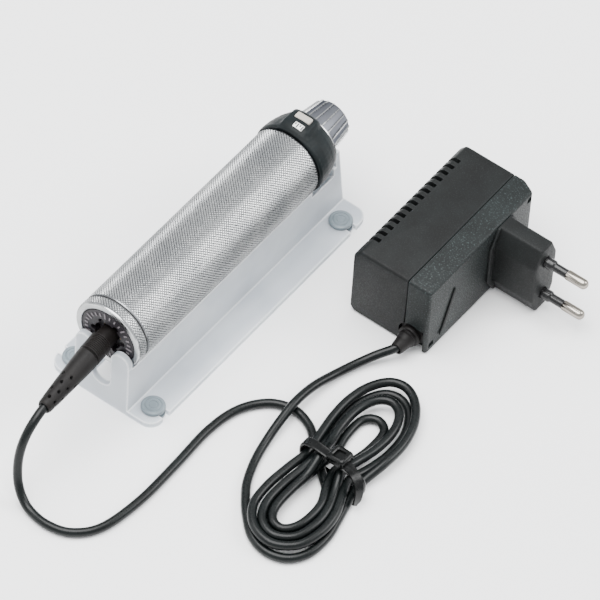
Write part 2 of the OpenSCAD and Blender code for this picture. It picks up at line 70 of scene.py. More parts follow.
LOG = logging.getLogger("handle_set")


class Body(str, Enum):
    """Names of the moving bodies that pieces ride on."""

    REST = "rest"
    HANDLE = "handle"
    BOTTOM_RING = "bottom_ring"
    DIMMER = "dimmer"
    BUTTON = "button"
    CAP = "cap"
    PLUG = "plug"


# ---------------------------------------------------------------- finishes


def linear(hex_colour: str) -> tuple[float, float, float, float]:
    """Turns an sRGB hex colour into linear RGBA.

    Args:
        hex_colour: six hex digits, such as "8a9096".

    Returns:
        Linear red, green and blue, with alpha 1.
    """
    channels = [int(hex_colour[i : i + 2], 16) / 255 for i in (0, 2, 4)]
    values = [c / 12.92 if c <= 0.04045 else ((c + 0.055) / 1.055) ** 2.4 for c in channels]
    return values[0], values[1], values[2], 1.0


def per_mm(size: float) -> float:
    """Texture scale, in repeats per metre, of a pattern whose feature is size mm wide."""
    return 1000.0 / size


def add_node(
    tree: bpy.types.NodeTree,
    kind: str,
    settings: dict[str, object] | None = None,
    links: dict[str, bpy.types.NodeSocket] | None = None,
) -> bpy.types.Node:
    """Adds one node with its settings and its incoming links.

    Args:
        tree: the material's node tree.
        kind: the node's type name.
        settings: node properties by name, or input values by socket name.
        links: sockets to join, by the name of this node's input.

    Returns:
        The new node.
    """
    node = tree.nodes.new(kind)
    for name, value in (settings or {}).items():
        if name in node.bl_rna.properties:
            setattr(node, name, value)
        else:
            node.inputs[name].default_value = value
    for name, socket in (links or {}).items():
        tree.links.new(socket, node.inputs[name])
    return node


@dataclass
class Dressing:
    """A material under construction: its tree, its shader and the object-space coordinates."""

    name: str
    material: bpy.types.Material = field(init=False)

    def __post_init__(self) -> None:
        """Makes an empty node material with a shader, an output and coordinates."""
        self.material = bpy.data.materials.new(self.name)
        self.material.use_nodes = True
        self.tree = self.material.node_tree
        self.tree.nodes.clear()
        self.shader = add_node(self.tree, "ShaderNodeBsdfPrincipled")
        output = add_node(self.tree, "ShaderNodeOutputMaterial")
        self.tree.links.new(self.shader.outputs["BSDF"], output.inputs["Surface"])
        self.place = add_node(self.tree, "ShaderNodeTexCoord").outputs["Object"]

    def noise(
        self, size: float, detail: float = 3.0, stretch: Sequence[float] = (1, 1, 1)
    ) -> bpy.types.NodeSocket:
        """Cloudy pattern whose features are size mm across.

        Args:
            size: feature size in mm.
            detail: octaves of finer pattern.
            stretch: factor on each axis' frequency.

        Returns:
            The pattern's value socket, around 0.5.
        """
        mapped = add_node(
            self.tree, "ShaderNodeMapping", {"Scale": tuple(stretch)}, {"Vector": self.place}
        )
        node = add_node(
            self.tree,
            "ShaderNodeTexNoise",
            {"Scale": per_mm(size), "Detail": detail, "Roughness": 0.6},
            {"Vector": mapped.outputs["Vector"]},
        )
        return node.outputs["Fac"]

    def ramp(
        self, value: bpy.types.NodeSocket, low: float, high: float, a: str, b: str
    ) -> bpy.types.NodeSocket:
        """Colour that goes from a to b as value goes from low to high.

        Args:
            value: the driving value.
            low: value that gives colour a.
            high: value that gives colour b.
            a: hex colour at the low end.
            b: hex colour at the high end.

        Returns:
            The colour socket.
        """
        node = add_node(self.tree, "ShaderNodeValToRGB", None, {"Fac": value})
        node.color_ramp.elements[0].position = low
        node.color_ramp.elements[1].position = high
        node.color_ramp.elements[0].color = linear(a)
        node.color_ramp.elements[1].color = linear(b)
        return node.outputs["Color"]

    def remap(
        self, value: bpy.types.NodeSocket, low: float, high: float, to_low: float, to_high: float
    ) -> bpy.types.NodeSocket:
        """Value moved linearly, and clamped, from one range to another.

        Args:
            value: the value to move.
            low: start of its range.
            high: end of its range.
            to_low: result at the start.
            to_high: result at the end.

        Returns:
            The result socket.
        """
        settings = {"From Min": low, "From Max": high, "To Min": to_low, "To Max": to_high}
        return add_node(
            self.tree, "ShaderNodeMapRange", settings, {"Value": value}
        ).outputs["Result"]

    def tint(
        self, base: bpy.types.NodeSocket, other: str, amount: bpy.types.NodeSocket
    ) -> bpy.types.NodeSocket:
        """Mixes a colour socket towards another colour.

        Args:
            base: colour socket to start from.
            other: hex colour to go to.
            amount: how far, from 0 to 1.

        Returns:
            The mixed colour socket.
        """
        node = add_node(self.tree, "ShaderNodeMix", {"data_type": "RGBA"})
        node.inputs[7].default_value = linear(other)
        self.tree.links.new(amount, node.inputs[0])
        self.tree.links.new(base, node.inputs[6])
        return node.outputs[2]

    def edges(self, radius: float) -> bpy.types.NodeSocket:
        """Mask that is 1 on edges and corners, and 0 on flat ground.

        Args:
            radius: how far from an edge the mask reaches, in mm.

        Returns:
            The mask socket.
        """
        soft = add_node(self.tree, "ShaderNodeBevel", {"samples": 4, "Radius": radius * MM})
        true = add_node(self.tree, "ShaderNodeNewGeometry")
        dot = add_node(
            self.tree,
            "ShaderNodeVectorMath",
            {"operation": "DOT_PRODUCT"},
            {"Vector": soft.outputs["Normal"]},
        )
        self.tree.links.new(true.outputs["Normal"], dot.inputs[1])
        return self.remap(dot.outputs["Value"], 0.995, 0.86, 0.0, 1.0)

    def relief(
        self, height: bpy.types.NodeSocket, depth: float, under: bpy.types.NodeSocket | None = None
    ) -> bpy.types.NodeSocket:
        """Bump of a pattern.

        Args:
            height: the pattern.
            depth: its depth in mm.
            under: normal of a coarser bump that this one sits on.

        Returns:
            The normal socket.
        """
        node = add_node(
            self.tree, "ShaderNodeBump", {"Strength": 1.0, "Distance": depth * MM},
            {"Height": height}
        )
        if under is not None:
            self.tree.links.new(under, node.inputs["Normal"])
        return node.outputs["Normal"]

    def join(self, **sockets: bpy.types.NodeSocket) -> None:
        """Links sockets to the shader; an underscore stands for a space in the input's name."""
        for name, socket in sockets.items():
            self.tree.links.new(socket, self.shader.inputs[name.replace("_", " ")])

    def fix(self, **values: object) -> None:
        """Sets constants on the shader; an underscore stands for a space in the input's name."""
        for name, value in values.items():
            self.shader.inputs[name.replace("_", " ")].default_value = value


@dataclass(frozen=True)
class MouldedPlastic:
    """Moulded or extruded plastic: an even colour that drifts a little, and a moulded grain."""

    name: str
    low: str
    high: str
    roughness: float
    drift: float = 9.0  # mm, size of the slow colour drift
    grain: float = 0.5  # mm, size of the moulded grain
    depth: float = 0.02  # mm, depth of the grain
    spread: float = 0.12  # how far the roughness wanders
    painted_glints: str = ""  # painted glints: a lighter colour on the tops of a coarse spark-eroded grain
    worn: str = ""  # colour of rubbed edges
    specular: float = 0.5
    coat: float = 0.0

    def build(self) -> bpy.types.Material:
        """Builds the material.

        Returns:
            The finished material.
        """
        d = Dressing(self.name)
        slow = d.noise(self.drift, 2.0)
        fine = d.noise(self.grain, 4.0)
        colour = d.ramp(slow, 0.35, 0.65, self.low, self.high)
        # painted glints: the tops of the fine grain are tinted lighter as painted highlights
        if self.painted_glints:
            colour = d.tint(colour, self.painted_glints, d.remap(fine, 0.56, 0.72, 0.0, 0.9))
        if self.worn:
            colour = d.tint(colour, self.worn, d.remap(d.edges(0.45), 0.0, 1.0, 0.0, 0.55))
        rough = d.remap(fine, 0.3, 0.7, self.roughness + self.spread, self.roughness - self.spread)
        d.join(Base_Color=colour, Roughness=rough, Normal=d.relief(fine, self.depth))
        d.fix(IOR=1.5, Specular_IOR_Level=self.specular, Coat_Weight=self.coat, Coat_Roughness=0.12)
        return d.material


@dataclass(frozen=True)
class FrostedPlastic:
    """Frosted clear plastic: a milky body, a satin surface and edges that carry light, painted
    white as painted light.
    """

    name: str
    body: str
    milk: str
    # colour of edges and corners: painted light
    edge: str
    roughness: float = 0.38
    clarity: float = 0.30
    scatter: float = 2.0  # mm

    def build(self) -> bpy.types.Material:
        """Builds the material.

        Returns:
            The finished material.
        """
        d = Dressing(self.name)
        cloud = d.noise(22.0, 2.0)
        frost = d.noise(0.7, 5.0)
        colour = d.ramp(cloud, 0.35, 0.65, self.body, self.milk)
        # painted light: edges and corners are tinted towards the edge colour, a painted glow of
        # light carried in the plastic
        colour = d.tint(colour, self.edge, d.remap(d.edges(1.3), 0.0, 0.7, 0.0, 1.0))
        rough = d.remap(frost, 0.3, 0.7, self.roughness - 0.06, self.roughness + 0.10)
        d.join(Base_Color=colour, Roughness=rough, Normal=d.relief(frost, 0.012))
        d.fix(
            IOR=1.49,
            Transmission_Weight=self.clarity,
            Subsurface_Weight=0.55,
            Subsurface_Scale=self.scatter * MM,
            Subsurface_Radius=(1.0, 1.0, 1.0),
        )
        return d.material


class Lay(Enum):
    """Which way the tool marks of a metal piece run."""

    NONE = (1.0, 1.0, 1.0)
    TURNED = (0.02, 1.0, 0.02)
    ALONG = (1.0, 0.03, 1.0)


@dataclass(frozen=True)
class WorkedMetal:
    """Turned, drawn or plated metal, with its tool marks and a slow change of tone."""

    name: str
    low: str
    high: str
    roughness: float
    lay: Lay = Lay.TURNED
    mark: float = 0.35  # mm between tool marks, coarser than real so that they show
    depth: float = 0.006
    groove_shade: str = ""  # painted shade: colour laid in the grooves of a knurl, strongest at their bottoms
    groove: tuple[float, float] = (0.0, 1.0)  # radius at the bottom and at the top of the knurl, mm
    rim: str = "ffffff"  # tint of the reflection near the outline, darker on a rough oxide

    def build(self) -> bpy.types.Material:
        """Builds the material.

        Returns:
            The finished material.
        """
        d = Dressing(self.name)
        slow = d.noise(14.0, 3.0)
        marks = d.noise(self.mark, 2.0, self.lay.value)
        colour = d.ramp(slow, 0.35, 0.65, self.low, self.high)
        # painted shade: the colour darkens towards the bottoms of the knurl's grooves, by distance
        # from the handle's axis
        if self.groove_shade:
            split = add_node(d.tree, "ShaderNodeSeparateXYZ", None, {"Vector": d.place})
            drop = add_node(
                d.tree, "ShaderNodeMath", {"operation": "SUBTRACT"}, {"Value": split.outputs["Z"]}
            )
            drop.inputs[1].default_value = Handle.axis_z * MM
            flat = add_node(
                d.tree, "ShaderNodeCombineXYZ", None,
                {"X": split.outputs["X"], "Y": drop.outputs["Value"]}
            )
            far = add_node(
                d.tree, "ShaderNodeVectorMath", {"operation": "LENGTH"},
                {"Vector": flat.outputs["Vector"]}
            )
            low, high = (r * MM for r in self.groove)
            colour = d.tint(colour, self.groove_shade, d.remap(far.outputs["Value"], low, high, 0.7, 0.0))
        rough = d.remap(marks, 0.3, 0.7, self.roughness - 0.05, self.roughness + 0.08)
        d.join(Base_Color=colour, Roughness=rough, Normal=d.relief(marks, self.depth))
        d.fix(Metallic=1.0, Specular_Tint=linear(self.rim))
        return d.material


class Finishes:
    """Every finish of the set, made once and kept by the record's slot name."""

    def __init__(self) -> None:
        """Makes all the materials."""
        recipes = [
            # frosted acrylic: bluish milk, with edges painted white as painted light
            FrostedPlastic("frosted_plastic", "b9bfc6", "c8cdd2", "ffffff", clarity=0.35),
            # soft PVC feet: a warm mid grey with a satin skin
            MouldedPlastic(
                "foot_rubber", "667177", "79848a", 0.36, grain=0.8, depth=0.01, spread=0.08
            ),
            # natural anodised aluminium with a diamond knurl: bright flats over grooves darkened by
            # painted shade
            WorkedMetal(
                "knurled_aluminium", "babcbd", "cfd0d0", 0.27, lay=Lay.NONE, mark=0.8, depth=0.004,
                groove_shade="55585c", groove=(14.7, 14.98), rim="1c1a18"
            ),
            # the same aluminium turned smooth: a clean bright edge
            WorkedMetal("turned_aluminium", "a6a8a9", "bcbdbd", 0.24, rim="6a6a68"),
            # satin anodised aluminium of the cap: light blue grey
            WorkedMetal(
                "cap_aluminium", "66686e", "77797f", 0.4, lay=Lay.ALONG, mark=0.4, depth=0.004,
                rim="5c5e62"
            ),
            # rubber seal: nearly black and dull
            MouldedPlastic("black_rubber", "111214", "1a1b1d", 0.7, grain=0.3),
            # boots of soft PVC: black with a waxy sheen
            MouldedPlastic(
                "boot_rubber", "0c0a0a", "131110", 0.52, grain=0.35, depth=0.012, specular=0.18
            ),
            # glass-filled nylon insert: purple black, matt
            MouldedPlastic("socket_plastic", "131014", "1c181d", 0.5, grain=0.3, specular=0.25),
            # pad-printed ticks on the insert: warm light grey, dull
            MouldedPlastic("print_grey", "5b5659", "686367", 0.6, grain=0.3, depth=0.004),
            WorkedMetal("contact_brass", "c9a050", "dcb968", 0.25),
            # nickel plate: warm white and mirror-like
            WorkedMetal(
                "plated_contact", "8f8a82", "a8a29a", 0.15, lay=Lay.ALONG, mark=0.5, depth=0.003,
                rim="6a665f"
            ),
            MouldedPlastic("board_laminate", "1f5a36", "2b6b44", 0.4, grain=0.5, depth=0.01),
            MouldedPlastic("chip_plastic", "141416", "1d1d20", 0.5, grain=0.25),
            WorkedMetal("spring_steel", "b5b8bc", "c9cbce", 0.25, lay=Lay.ALONG),
            MouldedPlastic("cell_can", "3f6fa8", "4b7cb5", 0.3, grain=1.0, depth=0.004, coat=0.3),
            MouldedPlastic("cell_wrap", "28508a", "30599a", 0.25, grain=1.0, depth=0.004, coat=0.4),
            MouldedPlastic("liner_plastic", "d9d6c9", "e4e1d6", 0.5, grain=0.6),
            MouldedPlastic("resistor_track", "6b3d20", "7c4a28", 0.6, grain=0.2),
            MouldedPlastic("scale_plastic", "e9e9e5", "f3f3f0", 0.4, grain=0.4, depth=0.006),
            MouldedPlastic("mark_ink", "101113", "17181a", 0.45, grain=0.2, depth=0.004),
            # ABS with a satin mould: black with a green cast
            MouldedPlastic(
                "dimmer_plastic", "090e0f", "0e1517", 0.5, grain=0.35, depth=0.012, specular=0.16
            ),
            # warm grey ABS button, fine matt
            MouldedPlastic("button_plastic", "a09a92", "ada79e", 0.45, grain=0.3, depth=0.008),
            MouldedPlastic(
                "plug_plastic", "0c0908", "130f0e", 0.5, grain=0.3, depth=0.012, specular=0.2
            ),
            # ABS with a spark-eroded grain, 0.4 mm so that it shows: charcoal with a fine sparkle
            # of painted glints
            MouldedPlastic(
                "supply_plastic", "0f1010", "141616", 0.55, drift=14.0, grain=0.42, depth=0.03,
                spread=0.12, painted_glints="232626", worn="343838", specular=0.16
            ),
            MouldedPlastic(
                "sleeve_plastic", "0a0a0b", "101011", 0.25, grain=0.6, depth=0.004, specular=0.4
            ),
            WorkedMetal(
                "core_steel", "6b6b6e", "7d7d80", 0.4, lay=Lay.TURNED, mark=0.5, depth=0.02
            ),
            WorkedMetal(
                "winding_copper", "b0622c", "c77a3d", 0.3, lay=Lay.TURNED, mark=0.4, depth=0.03
            ),
            MouldedPlastic(
                "capacitor_sleeve", "1f2a4c", "28345a", 0.3, grain=1.0, depth=0.004, coat=0.3
            ),
            # soft PVC jacket: dark green grey with a greasy sheen along the cord
            MouldedPlastic(
                "lead_jacket", "070a0a", "0c1010", 0.3, drift=12.0, grain=0.8, depth=0.010,
                spread=0.06, specular=0.22
            ),
            # vinyl tie: shiny black
            MouldedPlastic(
                "tie_plastic", "040505", "080909", 0.22, grain=1.2, depth=0.01, specular=0.2
            ),
            # the coarser strip beside the seam: same ABS, a grain of 0.6 mm with a sparkle of
            # painted glints
            MouldedPlastic(
                "supply_strip", "121515", "181c1c", 0.5, drift=10.0, grain=0.6, depth=0.06,
                spread=0.16, painted_glints="3c4545", worn="343a3a", specular=0.18
            ),
            # inside of slots, pockets and dimples: the same plastic, never polished, and darker as
            # painted shade
            MouldedPlastic("slot_plastic", "070808", "0b0c0c", 0.8, grain=0.5, specular=0.1),
        ]
        self.made = {recipe.name: recipe.build() for recipe in recipes}

    def of(self, name: str) -> bpy.types.Material:
        """The material of that name."""
        return self.made[name]


# ---------------------------------------------------------------- shapes


@dataclass(frozen=True)
class Axis:
    """A turning axis: a start point, the way it runs and two directions across it."""

    origin: tuple[float, float, float]
    along: tuple[float, float, float]
    side: tuple[float, float, float]
    up: tuple[float, float, float]

    def at(self, r: float, angle: float, s: float) -> Vector:
        """Point at radius r, angle in degrees from side towards up, s along the axis."""
        c, w = math.cos(math.radians(angle)), math.sin(math.radians(angle))
        return Vector(
            self.origin
        ) + Vector(self.along) * s + Vector(self.side) * (r * c) + Vector(self.up) * (r * w)


def eased(t: float) -> float:
    """Smooth step from 0 to 1."""
    t = min(1.0, max(0.0, t))
    return t * t * (3 - 2 * t)


def between(table: Sequence[tuple[float, float]], x: float) -> float:
    """Value at x on a table of (x, value) pairs, linear between them."""
    if x <= table[0][0]:
        return table[0][1]
    for (x0, v0), (x1, v1) in zip(table, table[1:]):
        if x <= x1:
            return v0 + (v1 - v0) * (x - x0) / (x1 - x0)
    return table[-1][1]


def rounded(
    points: Sequence[tuple[float, float]], radius: float, steps: int = 3, closed: bool = False
) -> list[tuple[float, float]]:
    """Rounds the corners of a flat line.

    Args:
        points: the corners.
        radius: how far from a corner the rounding starts; less where a side is short.
        steps: pieces in each rounding.
        closed: whether the line closes on itself.

    Returns:
        The rounded line's points.
    """
    out: list[tuple[float, float]] = []
    n = len(points)
    for i, point in enumerate(points):
        if not closed and i in (0, n - 1):
            out.append(point)
            continue
        here, before, after = Vector(point), Vector(points[i - 1]), Vector(points[(i + 1) % n])
        cut = min(radius, (before - here).length * 0.45, (after - here).length * 0.45)
        a, b = here + (before - here).normalized() * cut, here + (after - here).normalized() * cut
        for k in range(steps + 1):
            t = k / steps
            q = a * (1 - t) ** 2 + here * (2 * t * (1 - t)) + b * t**2
            out.append((q.x, q.y))
    return out


def smooth_line(points: Sequence[Sequence[float]], step: float) -> list[Vector]:
    """A smooth line through points, with its own points step mm apart.

    Args:
        points: the points that it passes through.
        step: spacing of the result.

    Returns:
        Evenly spaced points, the first and last ones kept.
    """
    p = [Vector(q) for q in points]
    fine: list[Vector] = []
    parts = 12  # pieces between two given points
    for i in range(len(p) - 1):
        a, b, c, d = p[max(i - 1, 0)], p[i], p[i + 1], p[min(i + 2, len(p) - 1)]
        for k in range(parts):
            t = k / parts
            fine.append(
                0.5 * (
                    2 * b + (c - a) * t
                    + (2 * a - 5 * b + 4 * c - d) * t**2
                    + (3 * b - a - 3 * c + d) * t**3
                )
            )
    fine.append(p[-1])
    run = [0.0]
    for a, b in zip(fine, fine[1:]):
        run.append(run[-1] + (b - a).length)
    count = max(2, round(run[-1] / step))
    out, j = [], 0
    for k in range(count + 1):
        want = run[-1] * k / count
        while j < len(run) - 2 and run[j + 1] < want:
            j += 1
        out.append(fine[j].lerp(fine[j + 1], (want - run[j]) / max(run[j + 1] - run[j], 1e-9)))
    return out


class Form:
    """Points and faces of one piece, in mm, gathered before they become a mesh."""

    def __init__(self) -> None:
        """Starts empty."""
        self.points: list[Vector] = []
        self.faces: list[tuple[int, ...]] = []
        self.marks: list[int] = []

    def loop(self, points: Iterable[Vector]) -> list[int]:
        """Adds points and returns their numbers."""
        start = len(self.points)
        self.points.extend(points)
        return list(range(start, len(self.points)))

    def face(self, corners: Sequence[int], mark: int = 0) -> None:
        """Adds one face; mark is the number of its material slot."""
        self.faces.append(tuple(corners))
        self.marks.append(mark)

    def bridge(self, a: Sequence[int], b: Sequence[int], mark: int = 0) -> None:
        """Joins two closed loops of equal count by quads."""
        n = len(a)
        for i in range(n):
            k = (i + 1) % n
            self.face((a[i], b[i], b[k], a[k]), mark)

    def turn(
        self, axis: Axis, profile: Sequence[tuple[float, float]], segments: int, mark: int = 0,
        closed: bool = False
    ) -> list[list[int]]:
        """Turns a profile about an axis.

        Args:
            axis: the turning axis.
            profile: (radius, along) pairs.
            segments: facets round the axis.
            mark: the faces' material slot.
            closed: whether the last pair joins the first.

        Returns:
            The loops, one for each pair.
        """
        loops = [
            self.loop(axis.at(r, 360 * i / segments, s) for i in range(segments))
            for r, s in profile
        ]
        for a, b in zip(loops, loops[1:]):
            self.bridge(a, b, mark)
        if closed:
            self.bridge(loops[-1], loops[0], mark)
        else:
            for loop, (r, _) in ((loops[0], profile[0]), (loops[-1], profile[-1])):
                if r < 1.5:
                    self.face(loop, mark)
        return loops

    def tube(
        self, line: Sequence[Vector], radius: Callable[[int], float], sides: int, mark: int = 0
    ) -> list[list[int]]:
        """Sweeps a round section along a line, without twist.

        Args:
            line: the centreline.
            radius: radius at each of its points.
            sides: facets round the section.
            mark: the faces' material slot.

        Returns:
            The loops, one for each point.
        """
        loops, across = [], None
        for i, here in enumerate(line):
            way = (line[min(i + 1, len(line) - 1)] - line[max(i - 1, 0)]).normalized()
            if across is None:
                across = way.orthogonal()
            across = (across - way * across.dot(way)).normalized()
            other = way.cross(across)
            ring = []
            for k in range(sides):
                t = 2 * math.pi * k / sides
                ring.append(here + (across * math.cos(t) + other * math.sin(t)) * radius(i))
            loops.append(self.loop(ring))
        for a, b in zip(loops, loops[1:]):
            self.bridge(a, b, mark)
        self.face(loops[0], mark)
        self.face(loops[-1], mark)
        return loops

    def knurl(
        self, axis: Axis, radius: float, span: tuple[float, float], pitch: float, depth: float,
        mark: int = 0
    ) -> tuple[list[int], list[int]]:
        """Covers a cylinder with blunt diamond points.

        Args:
            axis: the cylinder's axis.
            radius: radius over the points.
            span: start and end along the axis.
            pitch: width of a diamond.
            depth: depth of the grooves.
            mark: the faces' material slot.

        Returns:
            The closed loops of groove points at the start and at the end.
        """
        columns = 2 * round(2 * math.pi * radius / pitch)
        rows = 2 * max(1, round((span[1] - span[0]) / pitch))

        def place(i: float, j: float, r: float) -> Vector:
            """A point of the diamond grid: column i, row j, at radius r."""
            return axis.at(r, 360 * i / columns, span[0] + (span[1] - span[0]) * j / rows)

        grooves: dict[tuple[int, int], int] = {}
        for j in range(rows + 1):
            for i in range(j % 2, columns, 2):
                grooves[i, j] = len(self.points)
                self.points.append(place(i, j, radius - depth))
        flat = 0.4  # share of the diamond that its blunt top takes
        for j in range(rows + 1):
            for i in range((j + 1) % 2, columns, 2):
                west, east = grooves[(i - 1) % columns, j], grooves[(i + 1) % columns, j]
                if j == 0:
                    self.face((west, grooves[i, 1], east), mark)
                elif j == rows:
                    self.face((west, east, grooves[i, j - 1]), mark)
                else:
                    base = (west, grooves[i, j + 1], east, grooves[i, j - 1])
                    spots = ((i - flat, j), (i, j + flat), (i + flat, j), (i, j - flat))
                    top = self.loop(place(a, b, radius) for a, b in spots)
                    self.bridge(base, top, mark)
                    self.face(top, mark)
        return (
            [grooves[i, 0] for i in range(0, columns, 2)],
            [grooves[i, rows] for i in range(0, columns, 2)]
        )

    def piece(
        self,
        name: str,
        materials: Sequence[bpy.types.Material],
        body: Body | None,
        slot: str,
        replaces: Sequence[str] = (),
        crease: float = 32.0,
    ) -> bpy.types.Object:
        """Turns the form into a piece of the object.

        Args:
            name: the piece's name.
            materials: its materials, in the order of the marks.
            body: the body that it rides on, or None to leave it without one.
            slot: the record's material slot; not used.
            replaces: CAD nodes that it stands for.
            crease: angle in degrees above which an edge stays sharp.

        Returns:
            The piece.
        """
        mesh = bpy.data.meshes.new(name)
        mesh.from_pydata([p * MM for p in self.points], [], self.faces)
        mesh.polygons.foreach_set("material_index", self.marks)
        return finish_piece(name, mesh, materials, body, replaces, crease)


def finish_piece(
    name: str,
    mesh: bpy.types.Mesh,
    materials: Sequence[bpy.types.Material],
    body: Body | None,
    replaces: Sequence[str] = (),
    crease: float = 32.0,
) -> bpy.types.Object:
    """Puts a mesh in the scene as a piece, with its normals, shading, materials and body.

    Args:
        name: the piece's name.
        mesh: its mesh, in metres.
        materials: its materials.
        body: the body that it rides on, or None to leave it without one.
        replaces: CAD nodes that it stands for.
        crease: angle in degrees above which an edge stays sharp.

    Returns:
        The piece.
    """
    work = bmesh.new()
    work.from_mesh(mesh)
    bmesh.ops.recalc_face_normals(work, faces=work.faces)
    work.to_mesh(mesh)
    work.free()
    mesh.shade_smooth()
    mesh.set_sharp_from_angle(angle=math.radians(crease))
    for material in materials:
        mesh.materials.append(material)
    piece = bpy.data.objects.new(name, mesh)
    bpy.context.scene.collection.objects.link(piece)
    if body is not None:
        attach(piece, body.value)
    if replaces:
        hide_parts(*replaces)
    LOG.info("%s: %d faces", name, len(mesh.polygons))
    return piece


def cad_form(node: str, width: float, segments: int = 2, angle: float = 28.0) -> bmesh.types.BMesh:
    """Takes a CAD node's shape with its edges rounded.

    Args:
        node: the CAD node.
        width: rounding width in mm.
        segments: facets across the rounding.
        angle: edges sharper than this, in degrees, are rounded.

    Returns:
        The rounded shape, in metres.
    """
    work = bmesh.new()
    work.from_mesh(frame["nodes"][node].data)
    bmesh.ops.remove_doubles(work, verts=work.verts, dist=2e-6)
    bmesh.ops.dissolve_limit(
        work, angle_limit=math.radians(1.5), verts=work.verts, edges=work.edges
    )
    sharp = [
        e
        for e in work.edges
        if len(e.link_faces) == 2 and e.calc_face_angle(0) > math.radians(angle)
    ]
    bmesh.ops.bevel(
        work, geom=sharp, offset=width * MM, segments=segments, profile=0.5, affect="EDGES",
        clamp_overlap=True
    )
    return work


def prism(outline: Sequence[Vector], reach: Vector) -> bmesh.types.BMesh:
    """A closed block from a flat outline and a reach, both in mm; the block is in metres."""
    work = bmesh.new()
    near = [work.verts.new(p * MM) for p in outline]
    far = [work.verts.new((p + reach) * MM) for p in outline]
    n = len(near)
    for i in range(n):
        work.faces.new((near[i], near[(i + 1) % n], far[(i + 1) % n], far[i]))
    work.faces.new(near)
    work.faces.new(list(reversed(far)))
    bmesh.ops.recalc_face_normals(work, faces=work.faces)
    return work


def shave(
    work: bmesh.types.BMesh, point: Sequence[float], outward: Sequence[float]
) -> list[bmesh.types.BMEdge]:
    """Cuts off what lies outward of a plane and closes the cut.

    Args:
        work: the block, in metres.
        point: a point of the plane, in mm.
        outward: the side that goes.

    Returns:
        The edges round the cut.
    """
    geometry = work.verts[:] + work.edges[:] + work.faces[:]
    cut = bmesh.ops.bisect_plane(
        work, geom=geometry, dist=1e-7, plane_co=Vector(point) * MM, plane_no=Vector(
            outward
        ), clear_outer=True
    )
    rim = [
        e for e in cut["geom_cut"] if isinstance(e, bmesh.types.BMEdge) and len(e.link_faces) == 1
    ]
    bmesh.ops.edgenet_fill(work, edges=rim)
    return [e for e in rim if e.is_valid]


def soften(
    work: bmesh.types.BMesh, width: float, segments: int = 3,
    edges: Iterable[bmesh.types.BMEdge] | None = None
) -> None:
    """Rounds the given edges, or all sharp ones, by width mm."""
    chosen = list(edges) if edges is not None else [
        e for e in work.edges if e.calc_face_angle(0) > math.radians(20)
    ]
    bmesh.ops.bevel(
        work, geom=chosen, offset=width * MM, segments=segments, profile=0.5, affect="EDGES",
        clamp_overlap=True
    )


def as_mesh(work: bmesh.types.BMesh, name: str) -> bpy.types.Mesh:
    """Writes a work shape to a new mesh and frees it."""
    mesh = bpy.data.meshes.new(name)
    work.to_mesh(mesh)
    work.free()
    return mesh


def carve(
    mesh: bpy.types.Mesh, cutters: Sequence[bmesh.types.BMesh], dark: bpy.types.Material
) -> bpy.types.Mesh:
    """Cuts blocks out of a mesh; the cut walls take the dark material, a painted shade.

    Args:
        mesh: the mesh to cut, with its own material at slot 0.
        cutters: the blocks, which are freed.
        dark: material of the cut walls, darker as painted shade.

    Returns:
        The cut mesh.
    """
    body = bpy.data.objects.new("carve_body", mesh)
    bpy.context.scene.collection.objects.link(body)
    helpers = [body]
    for i, block in enumerate(cutters):
        knife_mesh = as_mesh(block, f"carve_knife_{i}")
        knife_mesh.materials.append(dark)
        knife = bpy.data.objects.new(f"carve_knife_{i}", knife_mesh)
        bpy.context.scene.collection.objects.link(knife)
        helpers.append(knife)
        change = body.modifiers.new(f"cut_{i}", "BOOLEAN")
        change.operation, change.solver, change.object = "DIFFERENCE", "EXACT", knife
        change.material_mode = "TRANSFER"
    depsgraph = bpy.context.evaluated_depsgraph_get()
    done = bpy.data.meshes.new_from_object(body.evaluated_get(depsgraph))
    for helper in helpers:
        bpy.data.objects.remove(helper)
    return done


def block(
    x: tuple[float, float], y: tuple[float, float], z: tuple[float, float]
) -> bmesh.types.BMesh:
    """A square-cornered block between two values on each axis, in mm."""
    corners = [
        Vector((x[0], y[0], z[0])), Vector((x[1], y[0], z[0])), Vector((x[1], y[1], z[0])),
        Vector((x[0], y[1], z[0]))
    ]
    return prism(corners, Vector((0, 0, z[1] - z[0])))


def rod(
    axis: Axis, radius: float, span: tuple[float, float], segments: int = 32
) -> bmesh.types.BMesh:
    """A round bar along an axis, in mm."""
    ring = [axis.at(radius, 360 * i / segments, span[0]) for i in range(segments)]
    return prism(ring, Vector(axis.along) * (span[1] - span[0]))


def dress(finishes: Finishes, names: Iterable[str]) -> None:
    """Gives CAD nodes that keep their shape the finish of their slot in the record."""
    slots = {row["node"]: row["material_slot"] for row in frame["record"]["subparts"]}
    for name in names:
        mesh = frame["nodes"][name].data
        mesh.materials.clear()
        mesh.materials.append(finishes.of(slots[name]))
        mesh.set_sharp_from_angle(angle=math.radians(32))
        LOG.info("%s: finish %s", name, slots[name])


# ---------------------------------------------------------------- the pieces


